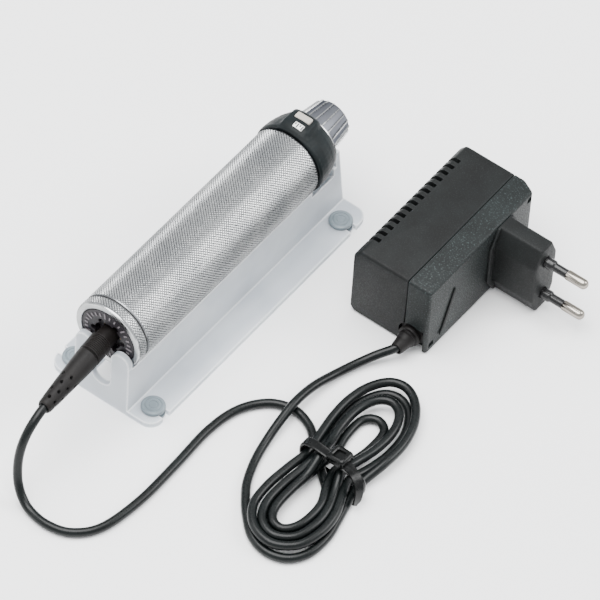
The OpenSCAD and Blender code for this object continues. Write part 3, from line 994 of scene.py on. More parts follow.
@dataclass
class Handle:
    """The knurled tube with its battery, contacts and instrument end."""

    axis_z = 35.5
    rim_y = -64.0
    axis = Axis((0, rim_y, axis_z), (0, 1, 0), (1, 0, 0), (0, 0, 1))
    tube_r: float = 15.0
    bore_r: float = 13.5
    span: tuple[float, float] = (5.4, 109.7)
    pitch: float = 1.3  # width of a diamond of the knurl
    depth: float = 0.32
    inside: tuple[str, ...] = (
        "bottom_seal", "charge_board", "board_chips", "rear_spring", "battery_rear",
        "battery_front", "battery_wrap",
        "battery_button", "tube_liner", "contact_plunger", "plunger_spring", "contact_bush", "neck",
        "dimmer_track",
        "scale_sleeve", "scale_marks", "retaining_ring", "bayonet_pins", "head_contact",
        "neck_seal",
    )

    def build(self, finishes: Finishes) -> None:
        """Builds the tube and dresses what is inside it.

        Args:
            finishes: the set's materials.
        """
        form = Form()
        s0, s1 = self.span
        knurled = (s0 + 0.4, s1 - 0.5)
        start, end = form.knurl(self.axis, self.tube_r, knurled, self.pitch, self.depth)
        n = len(start)
        near_edge = ((14.62, s0 + 0.15), (14.4, s0), (self.bore_r, s0))
        far_edge = ((14.6, s1 - 0.2), (14.3, s1), (self.bore_r, s1))
        near, far = (
            [form.loop(self.axis.at(r, 360 * i / n, s) for i in range(n)) for r, s in edge]
            for edge in (near_edge, far_edge)
        )
        for a, b in (
            (start, near[0]), *zip(near, near[1:]), (end, far[0]), *zip(far, far[1:]),
            (near[2], far[2])
        ):
            form.bridge(a, b)
        form.piece(
            "tube_knurled", [finishes.of("knurled_aluminium")], Body.HANDLE, "knurled_aluminium",
            ["handle_tube"], 18
        )
        dress(finishes, self.inside)


@dataclass
class BottomRing:
    """The ring round the charging socket, which unscrews to change the battery."""

    length: float = 5.0
    outer_r: float = 15.0
    insert_r: float = 12.25
    insert_face: float = 0.25  # face of the insert, whose ticks stand in front of it
    pitch: float = 1.3
    depth: float = 0.32

    def build(self, finishes: Finishes) -> None:
        """Builds the ring: a knurled band, a polished rim and the spigot inside the tube.

        Args:
            finishes: the set's materials.
        """
        form = Form()
        axis = Handle.axis
        start, end = form.knurl(
            axis, self.outer_r, (0.95, self.length - 0.35), self.pitch, self.depth
        )
        n = len(start)
        rim = [
            (14.72, 0.85), (14.85, 0.75), (14.8, 0.45), (14.6, 0.14), (14.3, 0.0), (12.9, 0.0),
            (12.6, 0.06), (12.4, 0.2), (self.insert_r, 0.5)
        ]
        back = [
            (14.6, self.length - 0.12), (14.3, self.length), (13.44, self.length), (13.44, 12.0),
            (self.insert_r, 12.0)
        ]
        rims = [form.loop(axis.at(r, 360 * i / n, s) for i in range(n)) for r, s in rim]
        backs = [form.loop(axis.at(r, 360 * i / n, s) for i in range(n)) for r, s in back]
        form.bridge(start, rims[0], 1)
        for a, b in zip(rims, rims[1:]):
            form.bridge(a, b, 1)
        for a, b in ((end, backs[0]), *zip(backs, backs[1:]), (backs[-1], rims[-1])):
            form.bridge(a, b, 1)
        both = [finishes.of("knurled_aluminium"), finishes.of("turned_aluminium")]
        form.piece(
            "bottom_ring_knurled", both, Body.BOTTOM_RING, "knurled_aluminium", ["bottom_ring"], 24
        )
        dress(finishes, ("socket_insert", "socket_sleeve", "socket_pin"))
        mesh = frame["nodes"]["socket_insert"].data
        mesh.materials.append(finishes.of("print_grey"))
        for polygon in mesh.polygons:
            if polygon.center.y < (Handle.rim_y + self.insert_face - 0.02) * MM:
                polygon.material_index = 1


@dataclass
class Dimmer:
    """The ring that sets the brightness, with its raised pad, window and button."""

    bore_r: float = 13.6
    pad_angles: tuple[float, float] = (63.0, 117.0)
    # angles round the axis, then places along it
    button: tuple[float, float, float, float] = (77.2, 102.8, 116.95, 120.05)
    window: tuple[float, float, float, float] = (79.5, 94.6, 112.9, 115.5)
    outline: tuple[tuple[float, float], ...] = (
        (110.0, 15.0), (110.15, 15.3), (110.45, 15.5), (110.9, 15.6), (112.5, 15.58),
        (115.0, 15.35), (118.0, 14.75),
        (120.0, 14.2), (121.2, 13.8), (122.0, 13.45), (122.45, 13.2), (122.6, 12.9),
    )
    pad: tuple[tuple[float, float], ...] = (
        (110.9, 15.6), (111.6, 15.68), (113.6, 16.45), (114.4, 16.6), (119.8, 16.6), (120.9, 16.35),
        (121.7, 15.8),
        (122.2, 15.0), (122.5, 13.9), (122.6, 12.9),
    )

    def radius(self, angle: float, s: float) -> float:
        """Outer radius at an angle and a place along the axis."""
        plain = between(self.outline, s)
        low, high = self.pad_angles
        lift = eased((angle - low) / 11) * eased((high - angle) / 7)
        flute = 0.05 * (
            0.5 + 0.5 * math.cos(math.radians(angle * 45))
        ) * (1 - lift) if 111.5 < s < 119.5 else 0.0
        return plain + lift * (max(plain, between(self.pad, s)) - plain) - flute

    def inner(self, s: float) -> float:
        """Inner radius at a place along the axis."""
        return self.bore_r if s < 116.8 else 11.9 if s < 120.1 else 11.25

    def build(self, finishes: Finishes) -> None:
        """Builds the ring with its window and the pocket of the button.

        Args:
            finishes: the set's materials.
        """
        axis = Handle.axis
        low, high = self.pad_angles
        angles = {float(a) for a in range(0, 360, 2)}
        angles |= {low + k for k in range(12)} | {high - k for k in range(8)}
        angles |= {self.button[0], self.button[1], self.window[0], self.window[1]}
        places = {s for s, _ in self.outline} | {s for s, _ in self.pad} | {
            *self.button[2:], *self.window[2:]
        }
        places |= {111.5, 111.6, 119.4, 119.5, 116.79, 116.81, 120.09, 120.11}
        turn, along = sorted(angles), sorted(places)
        form = Form()
        outer = [form.loop(axis.at(self.radius(a, s), a, s) for a in turn) for s in along]
        inner = [form.loop(axis.at(self.inner(s), a, s) for a in turn) for s in along]
        n = len(turn)

        def open_cell(i: int, j: int) -> bool:
            """Whether a cell of the ring is cut away for the button or the window."""
            if not 0 <= j < len(along) - 1:
                return False
            a, s = turn[i % n] + 0.01, along[j] + 0.001
            return any(h[0] <= a < h[1] and h[2] <= s < h[3] for h in (self.button, self.window))

        for j in range(len(along) - 1):
            for i in range(n):
                k = (i + 1) % n
                if not open_cell(i, j):
                    form.face((outer[j][i], outer[j + 1][i], outer[j + 1][k], outer[j][k]))
                    form.face((inner[j][i], inner[j][k], inner[j + 1][k], inner[j + 1][i]))
                    continue
                if not open_cell(i - 1, j):
                    form.face((outer[j][i], outer[j + 1][i], inner[j + 1][i], inner[j][i]))
                if not open_cell(i + 1, j):
                    form.face((outer[j][k], outer[j + 1][k], inner[j + 1][k], inner[j][k]))
                if not open_cell(i, j - 1):
                    form.face((outer[j][i], outer[j][k], inner[j][k], inner[j][i]))
                if not open_cell(i, j + 1):
                    form.face((outer[j + 1][i], outer[j + 1][k], inner[j + 1][k], inner[j + 1][i]))
        form.bridge(outer[0], inner[0])
        form.bridge(outer[-1], inner[-1])
        form.piece(
            "dimmer_ring_moulded", [finishes.of("dimmer_plastic")], Body.DIMMER, "dimmer_plastic",
            ["dimmer_ring"], 30
        )
        dress(finishes, ("dimmer_wiper",))
        self.build_window(finishes)
        self.build_button(finishes)

    def build_window(self, finishes: Finishes) -> None:
        """Builds the pale pane in the window, with a scale of plain bars on it.

        Args:
            finishes: the set's materials.
        """
        a0, a1, s0, s1 = self.window
        columns, rows = 16, 8
        form = Form()

        def layer(sunk: float) -> list[list[int]]:
            """One skin of the pane, sunk below the pad."""
            out = []
            for j in range(rows + 1):
                s = s0 + (s1 - s0) * j / rows
                r = between(self.pad, s) - sunk
                out.append(
                    form.loop(Handle.axis.at(r, a0 + (a1 - a0) * i / columns, s)
                    for i in range(columns + 1))
                )
            return out

        top, under = layer(0.28), layer(1.1)
        for j in range(rows):
            for i in range(columns):
                bar = i % 4 in (1, 2) and (0 if i % 8 < 4 else 3) < j < rows - 1
                form.face((top[j][i], top[j][i + 1], top[j + 1][i + 1], top[j + 1][i]), int(bar))
                form.face((under[j][i], under[j + 1][i], under[j + 1][i + 1], under[j][i + 1]))
        for i in range(columns):
            form.face((top[0][i], under[0][i], under[0][i + 1], top[0][i + 1]))
            form.face((top[rows][i], top[rows][i + 1], under[rows][i + 1], under[rows][i]))
        for j in range(rows):
            form.face((top[j][0], top[j + 1][0], under[j + 1][0], under[j][0]))
            form.face(
                (top[j][columns], under[j][columns], under[j + 1][columns], top[j + 1][columns])
            )
        both = [finishes.of("scale_plastic"), finishes.of("mark_ink")]
        form.piece("dimmer_window_pane", both, Body.DIMMER, "scale_plastic")

    def build_button(self, finishes: Finishes) -> None:
        """Builds the button: a crowned rounded oblong over its collar.

        Args:
            finishes: the set's materials.
        """
        form = Form()
        length, width, place = 6.9, 2.9, 118.5
        corner_r = 0.55
        crown_r = 17.1  # radius of the ring that the crown follows

        def outline(inset: float, z: float, follow: float) -> list[Vector]:
            """One loop of the button; follow is how far it follows the ring's curve."""
            x, y = length / 2 - inset, width / 2 - inset
            flat = rounded([(-x, -y), (x, -y), (x, y), (-x, y)], corner_r, 4, closed=True)
            start, axis_z = Handle.rim_y + place, Handle.axis_z
            return [
                Vector((
                    px, start + py,
                    axis_z + z - follow * (crown_r - math.sqrt(crown_r**2 - px**2)),
                ))
                for px, py in flat
            ]

        steps = [
            (-0.35, 13.2, 0.0), (-0.35, 13.95, 0.0), (0.0, 14.0, 0.0), (0.0, 16.75, 1.0),
            (0.06, 16.93, 1.0), (0.2, 17.04, 1.0), (0.42, crown_r, 1.0), (0.9, 17.12, 1.0)
        ]
        loops = [form.loop(outline(*step)) for step in steps]
        for a, b in zip(loops, loops[1:]):
            form.bridge(a, b)
        form.face(loops[0])
        form.face(loops[-1])
        form.piece(
            "button_crowned", [finishes.of("button_plastic")], Body.BUTTON, "button_plastic",
            ["push_button"], 40
        )
        self.build_spring(finishes, place)

    def build_spring(self, finishes: Finishes, place: float) -> None:
        """Builds the button's return spring, which the button presses flat.

        Args:
            finishes: the set's materials.
            place: the button's place along the axis.
        """
        foot = Vector((0, Handle.rim_y + place, Handle.axis_z + 12))
        coil, wire = 0.8, 0.12  # radii of the coil and of its wire
        step, count, rise = 15, 97, 0.0105  # degrees, points, and the rise from point to point
        form = Form()
        turns = [math.radians(step * i) for i in range(count)]
        line = [
            foot + Vector((coil * math.cos(t), coil * math.sin(t), rise * i))
            for i, t in enumerate(turns)
        ]
        form.tube(line, lambda i: wire, 8)
        spring = form.piece(
            "button_spring_coiled", [finishes.of("spring_steel")], Body.DIMMER, "spring_steel",
            ["button_spring"]
        )
        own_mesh(spring)


@dataclass
class RibbedCap:
    """The cap over the instrument end: a tapered shell with narrow ribs between broad flats."""

    start: float = 123.45
    length: float = 14.6
    wide_r: float = 10.4
    narrow_r: float = 8.3
    ribs: int = 18
    proud: float = 0.55  # height of a rib over the flats
    wall_r: float = 8.5

    def ring(self, r: float, s: float, proud: float) -> list[Vector]:
        """One loop round the cap, with its ribs standing proud of radius r."""
        pitch = 360 / self.ribs
        spots = [
            (-0.10, 0.0), (-0.06, 1.0), (0.06, 1.0), (0.10, 0.0), (0.3, 0.0), (0.5, 0.0), (0.7, 0.0)
        ]
        return [
            Handle.axis.at(r + proud * up, pitch * (k + at) + 6, s)
            for k in range(self.ribs)
            for at, up in spots
        ]

    def build(self, finishes: Finishes) -> None:
        """Builds the cap.

        Args:
            finishes: the set's materials.
        """
        form = Form()
        end = self.start + self.length

        def flat_r(s: float) -> float:
            """Radius of the flats between the ribs at s along the axis."""
            return self.wide_r + (
                self.narrow_r - self.wide_r
            ) * (s - self.start) / self.length - self.proud

        stations = [
            (self.start, flat_r(self.start) - 0.3, 0.3),
            (self.start + 0.25, flat_r(self.start), 0.5),
            (self.start + 0.5, flat_r(self.start), self.proud),
            (self.start + 5, flat_r(self.start + 5), self.proud),
            (end - 1.0, flat_r(end - 1.0), self.proud),
            (end - 0.45, flat_r(end) - 0.05, self.proud * 0.8),
            (end - 0.12, flat_r(end) - 0.3, 0.15), (end, flat_r(end) - 0.7, 0.0),
            (end - 0.05, 6.2, 0.0), (end - 0.25, 5.8, 0.0),
        ]
        loops = [form.loop(self.ring(r, s, proud)) for s, r, proud in stations]
        hollow = (
            (self.wall_r, self.start), (self.wall_r, self.start + 6), (7.5, self.start + 7),
            (7.5, self.start + 8.6), (6.4, end - 1.6)
        )
        bore = [form.loop(self.ring(r, s, 0.0)) for r, s in hollow]
        for a, b in (*zip(loops, loops[1:]), (loops[0], bore[0]), *zip(bore, bore[1:])):
            form.bridge(a, b)
        form.face(loops[-1])
        form.face(bore[-1])
        spots, bands = 7, 7  # points of one rib's outline, and bands that show from outside
        shown = spots * self.ribs * bands
        form.marks[:shown] = [1 if i % spots < 3 else 0 for i in range(shown)]
        both = [finishes.of("cap_aluminium"), finishes.of("turned_aluminium")]
        form.piece("cap_ribbed", both, Body.CAP, "cap_aluminium", ["ribbed_cap"], 26)


@dataclass
class ChargingPlug:
    """The plug in the handle's end: ribbed grip, contact nose and dimpled boot."""

    face: float = -3.8  # front of the grip's rings
    grip_r: float = 4.65
    grip_l: float = 7.6
    collar_r: float = 3.9
    rings: int = 10
    boot_l: float = 28.0
    dimple_r: float = 0.6
    hang: tuple[float, float, float] = (1.6, 0.0, -2.7)  # how far out of line the boot's tip hangs
    boot_line: tuple[tuple[float, float], ...] = (
        (0.0, 3.95), (0.35, 4.4), (0.9, 4.58), (3.0, 4.52), (7.0, 4.3), (10.0, 4.08), (16.0, 3.72),
        (22.0, 3.32), (27.2, 2.88), (28.0, 2.45),
    )

    def lean(self, points: Iterable[Vector]) -> None:
        """Lets the plug and its boot hang out of line, more and more towards the tip.

        Args:
            points: the points to move, in mm.
        """
        loose, tip = -3.0, self.face - self.grip_l - self.boot_l
        for p in points:
            p += Vector(self.hang) * min(
                1.0, max(0.0, (loose - (p.y - Handle.rim_y)) / (loose - tip))
            )

    def dent(self, angle: float, s: float) -> float:
        """Depth of the boot's dimples at a place, s from the grip."""
        deepest = 0.0
        for row in range(4):
            middle = 13.4 + 3.7 * row
            if abs(s - middle) > 1.2:
                continue
            r = between(self.boot_line, s)
            for spoke in range(6):
                centre = 60 * spoke + (30 if row % 2 else 0)
                turn = (angle - centre + 180) % 360 - 180
                away = math.hypot(s - middle, math.radians(turn) * r)
                deepest = max(deepest, 1.0 * (1 - eased((away - self.dimple_r + 0.2) / 0.3)))
        return deepest

    def build(self, finishes: Finishes) -> bpy.types.Object:
        """Builds the grip and the boot.

        Args:
            finishes: the set's materials.

        Returns:
            The boot, which hangs out of line and rides on no body.
        """
        axis = Handle.axis
        pitch = self.grip_l / self.rings
        collar = self.collar_r
        profile = [(2.8, 3.1), (collar - 0.2, 3.1), (collar, 2.9), (collar, self.face)]
        for i in range(self.rings):
            top = self.face - i * pitch
            rise = (
                (-0.12, 0.02), (0.0, 0.12), (0.0, 0.44), (-0.1, 0.52), (-0.35, 0.57), (-0.35, 0.73)
            )
            profile += [(self.grip_r + out, top - down) for out, down in rise]
        profile += [(self.grip_r - 0.35, self.face - self.grip_l), (2.8, self.face - self.grip_l)]
        grip = Form()
        grip.turn(axis, profile, 72, closed=True)
        self.lean(grip.points)
        grip.piece(
            "plug_grip_ribbed", [finishes.of("plug_plastic")], Body.PLUG, "plug_plastic",
            ["plug_grip"], 40
        )
        dress(finishes, ("plug_nose",))

        boot = Form()
        back = self.face - self.grip_l
        segments, fine = 108, [0.0, 0.2, 0.35, 0.6, 0.9] + [
            1.0 + 0.3 * k for k in range(88)
        ] + [27.6, 27.85, self.boot_l]
        turns = [360 * i / segments for i in range(segments)]
        loops = [
            boot.loop(
                axis.at(between(self.boot_line, s) - self.dent(a, s), a, back - s) for a in turns
            )
            for s in fine
        ]
        for j, (low, high) in enumerate(zip(loops, loops[1:])):
            for i in range(segments):
                k = (i + 1) % segments
                # the deep middles of the dimples take the darker slot material: painted shade in
                # the hollows
                deep = self.dent((i + 0.5) * 360 / segments, (fine[j] + fine[j + 1]) / 2) > 0.4
                boot.face((low[i], high[i], high[k], low[k]), int(deep))
        mouth = boot.loop(axis.at(1.84, a, back - self.boot_l + 0.3) for a in turns)
        root = boot.loop(axis.at(2.1, a, back) for a in turns)
        for a, b in ((loops[-1], mouth), (mouth, root), (root, loops[0])):
            boot.bridge(a, b)
        self.lean(boot.points)
        both = [finishes.of("boot_rubber"), finishes.of("slot_plastic")]
        return boot.piece("plug_boot_dimpled", both, None, "boot_rubber", ["plug_boot"], 50)


@dataclass
class Rest:
    """The frosted rest and its four feet."""

    foot_x: float = 18.6
    foot_y: tuple[float, float] = (-59.0, 57.0)
    foot_r: float = 4.7
    flange_top: float = 3.3

    def build(self, finishes: Finishes) -> None:
        """Builds the rest and the feet.

        Args:
            finishes: the set's materials.
        """
        mesh = as_mesh(cad_form("cradle", 0.45, 2), "rest_frosted")
        rest = finish_piece(
            "rest_frosted", mesh, [finishes.of("frosted_plastic")], Body.REST,
            ["cradle"], 40
        )
        rest.visible_shadow = False  # clear plastic throws hardly any shadow
        names = {
            (-1, 0): "foot_near_left", (1, 0): "foot_near_right", (-1, 1): "foot_far_left",
            (1, 1): "foot_far_right"
        }
        for (side, end), node in names.items():
            self.build_foot(finishes, node, side * self.foot_x, self.foot_y[end])

    def build_foot(self, finishes: Finishes, node: str, x: float, y: float) -> None:
        """Builds one push-in foot.

        Args:
            finishes: the set's materials.
            node: the CAD node that it stands for.
            x: its place across the rest.
            y: its place along the rest.
        """
        axis = Axis((x, y, 0), (0, 0, 1), (1, 0, 0), (0, 1, 0))
        top, r = self.flange_top, self.foot_r
        profile = [
            (0.6, 0.0), (r - 0.7, 0.0), (r - 0.2, 0.15), (r, 0.5), (r, 1.45), (1.8, 1.5),
            (1.8, top), (r - 0.1, top), (r, top + 0.15),
            (r, top + 0.85), (r - 0.12, top + 1.15), (r - 0.4, top + 1.38), (r - 0.9, top + 1.48),
            (r - 1.3, top + 1.4), (r - 1.5, top + 1.15),
            (r - 1.75, top + 1.15), (r - 1.95, top + 1.38), (r - 2.7, top + 1.42),
            (r - 2.9, top + 1.2), (r - 3.1, top + 1.2),
            (r - 3.3, top + 1.38), (0.6, top + 1.4),
        ]
        form = Form()
        form.turn(axis, profile, 64)
        form.piece(
            f"{node}_moulded", [finishes.of("foot_rubber")], Body.REST, "foot_rubber", [node], 35
        )


@dataclass
class Supply:
    """The plug-in supply: two shells, the flat mains plug with its pins, and the lead's boot."""

    x: tuple[float, float] = (45.0, 81.0)
    y: tuple[float, float] = (27.0, 95.0)
    height: float = 35.6
    seam_x: float = 70.5
    vents: int = 14
    plug_y: float = 73.5
    plug_z: float = 17.9
    pin_half: float = 9.0
    plug_l: float = 20.0
    boot: tuple[float, float] = (73.6, 6.6)
    inside: tuple[str, ...] = (
        "laminated_core", "bobbin", "primary_winding", "secondary_winding", "rectifier_board",
        "diodes", "capacitor",
    )

    def whole(self, inset: float, radius: float) -> bmesh.types.BMesh:
        """The supply's block before it is split.

        Args:
            inset: how far inside the outer skin, in mm.
            radius: rounding of its edges, in mm.

        Returns:
            The block, in metres.
        """
        x0, x1, top = self.x[0] + inset, self.x[1] - inset, self.height - inset
        outline = [
            (x0, 2 + inset), (x0 + 2, inset), (x1, inset), (x1, top), (x0 + 3, top), (x0, top - 4)
        ]
        y0, y1 = self.y[0] + inset, self.y[1] - inset
        work = prism([Vector((px, y0, pz)) for px, pz in outline], Vector((0, y1 - y0, 0)))
        shave(work, (x1 - 6, y1, 0), (0.45, 0.9, 0))
        if radius:
            soften(work, radius, 4)
        return work

    def pocket(self) -> list[bmesh.types.BMesh]:
        """Cutters of the pocket where the lead enters."""
        bx, bz = self.boot
        mouth = Axis((bx, self.y[0] - 3, bz), (0, 1, 0), (1, 0, 0), (0, 0, 1))
        return [
            rod(mouth, 5.6, (0, 6)),
            block((bx - 1, bx + 5.6), (self.y[0] - 1, self.y[0] + 3), (-1, 11.6))
        ]

    def build(self, finishes: Finishes) -> None:
        """Builds the supply.

        Args:
            finishes: the set's materials.
        """
        # darker plastic for the walls of vents, pockets and notches, as painted shade
        dark = finishes.of("slot_plastic")
        cover = self.whole(0, 1.3)
        soften(cover, 0.3, 1, shave(cover, (self.seam_x - 0.25, 0, 0), (1, 0, 0)))
        mesh = as_mesh(cover, "cover")
        mesh.materials.append(finishes.of("supply_plastic"))
        cavity = self.whole(2, 0)
        cutters = [cavity, *self.pocket()]
        pitch = (self.y[1] - self.y[0] - 14) / self.vents
        for i in range(self.vents):
            y = self.y[0] + 8 + i * pitch
            across, up = (self.x[0] - 1, self.x[0] + 6), (self.height - 6.5, self.height + 2)
            cutters.append(block(across, (y, y + 1.9), up))
        mesh = carve(mesh, cutters, dark)
        mesh.materials.clear()
        finish_piece(
            "supply_cover_moulded", mesh, [finishes.of("supply_plastic"), dark], Body.REST,
            ["supply_cover"], 34
        )

        base = self.whole(0, 1.3)
        soften(base, 0.3, 1, shave(base, (self.seam_x, 0, 0), (-1, 0, 0)))
        mesh = as_mesh(base, "base")
        mesh.materials.append(finishes.of("supply_strip"))
        x1, y0 = self.x[1], self.y[0]
        notches = [
            block((x1 - 0.8, x1 + 1), (y0 + 1.6, y0 + 4.6), (2.6, 5.2)),
            block((x1 - 0.9, x1 + 1), (self.y[1] - 6.4, self.y[1] - 3.2), (31.2, 34.0))
        ]
        mesh = carve(mesh, [*self.pocket(), *notches], dark)
        mesh.materials.clear()
        finish_piece(
            "supply_base_moulded", mesh, [finishes.of("supply_strip"), dark], Body.REST,
            ["supply_base"], 34
        )
        self.build_wedge(finishes)
        self.build_plug(finishes)
        self.build_pins(finishes)
        self.build_boot(finishes)
        dress(finishes, self.inside)

    def build_wedge(self, finishes: Finishes) -> None:
        """Builds the slim raised wedge on the plug face.

        Args:
            finishes: the set's materials.
        """
        x = self.x[1] - 0.02
        corners = [
            Vector((x, 42.4, 25.5)), Vector((x, 43.6, 24.6)), Vector((x, 38.2, 7.6)),
            Vector((x, 34.4, 5.2)), Vector((x, 36.0, 8.6))
        ]
        work = prism(corners, Vector((0.75, 0, 0)))
        soften(work, 0.3, 2)
        finish_piece(
            "supply_wedge", as_mesh(work, "wedge"), [finishes.of("supply_plastic")], Body.REST,
        )

    def build_plug(self, finishes: Finishes) -> None:
        """Builds the flat mains plug on its low plinth.

        Args:
            finishes: the set's materials.
        """
        x1 = self.x[1]
        half = [(3.4, 17.5), (6.85, 9.5), (6.85, -9.5), (3.4, -17.5)]
        section = half + [(-p, q) for p, q in reversed(half)]
        face = [Vector((x1 + 0.02, self.plug_y + p, self.plug_z + q)) for p, q in section]
        work = prism(face, Vector((self.plug_l, 0, 0)))
        soften(work, 0.9, 3)
        mesh = as_mesh(work, "plug")
        mesh.materials.append(finishes.of("supply_plastic"))
        cutters = []
        for side in (-1, 1):
            axis = Axis(
                (x1, self.plug_y, self.plug_z + side * self.pin_half), (1, 0, 0), (0, 1, 0),
                (0, 0, 1)
            )
            cutters.append(rod(axis, 2.55, (self.plug_l - 2, self.plug_l + 1)))
        # the recesses round the pins' roots take the darker slot material as painted shade
        mesh = carve(mesh, cutters, finishes.of("slot_plastic"))
        mesh.materials.clear()
        finishes_used = [finishes.of("supply_plastic"), finishes.of("slot_plastic")]
        finish_piece(
            "mains_plug_moulded", mesh, finishes_used, Body.REST, ["mains_plug"],
            34
        )
        low = [Vector((x1 + 0.01, self.plug_y + p * 1.35, self.plug_z + q)) for p, q in section]
        work = prism(low, Vector((1.2, 0, 0)))
        soften(work, 0.5, 2)
        finish_piece(
            "mains_plinth", as_mesh(work, "plinth"), [finishes.of("supply_plastic")], Body.REST,
        )

    def build_pins(self, finishes: Finishes) -> None:
        """Builds the two pins and their sleeves.

        Args:
            finishes: the set's materials.
        """
        x1 = self.x[1]
        root, tip = self.plug_l, self.plug_l + 19.0
        metal = [
            (1.4, root - 2), (1.4, tip - 9.2), (1.92, tip - 9.1), (2.0, tip - 8.9),
            (2.0, tip - 1.7), (1.86, tip - 1.1), (1.5, tip - 0.55), (1.0, tip - 0.2), (0.5, tip)
        ]
        cover = [
            (1.45, root - 1.9), (2.3, root - 1.9), (2.3, root + 3.4), (2.18, root + 3.8),
            (1.82, root + 4.3), (1.78, root + 4.6), (1.78, tip - 9.3), (1.45, tip - 9.22)
        ]
        pins, sleeves = Form(), Form()
        for side in (-1, 1):
            axis = Axis(
                (x1, self.plug_y, self.plug_z + side * self.pin_half), (1, 0, 0), (0, 1, 0),
                (0, 0, 1)
            )
            pins.turn(axis, metal, 48)
            sleeves.turn(axis, cover, 48, closed=True)
        pins.piece(
            "mains_pins_plated", [finishes.of("plated_contact")], Body.REST, "plated_contact",
            ["mains_pins"], 40
        )
        sleeves.piece(
            "pin_sleeves_moulded", [finishes.of("sleeve_plastic")], Body.REST, "sleeve_plastic",
            ["pin_sleeves"], 40
        )

    def build_boot(self, finishes: Finishes) -> None:
        """Builds the ringed collar and taper where the lead enters.

        Args:
            finishes: the set's materials.
        """
        axis = Axis((self.boot[0], self.y[0] + 2.9, self.boot[1]), (0, -1, 0), (1, 0, 0), (0, 0, 1))
        profile = [
            (2.2, 0.0), (5.0, 0.0), (5.2, 0.3), (5.2, 1.4), (5.0, 1.7), (4.1, 1.9), (4.0, 2.2),
            (4.0, 2.8), (4.2, 3.1), (4.5, 3.3), (4.5, 4.1),
            (4.3, 4.4), (3.6, 4.6), (3.5, 5.2), (3.7, 5.4), (3.7, 6.1), (3.4, 6.4), (3.0, 8.5),
            (2.65, 11.2), (2.45, 11.9), (2.1, 12.0), (1.84, 11.6), (1.84, 1.0),
        ]
        form = Form()
        form.turn(axis, profile, 56, closed=True)
        form.piece(
            "supply_boot_ringed", [finishes.of("boot_rubber")], Body.REST, "boot_rubber",
            ["supply_boot"], 40
        )


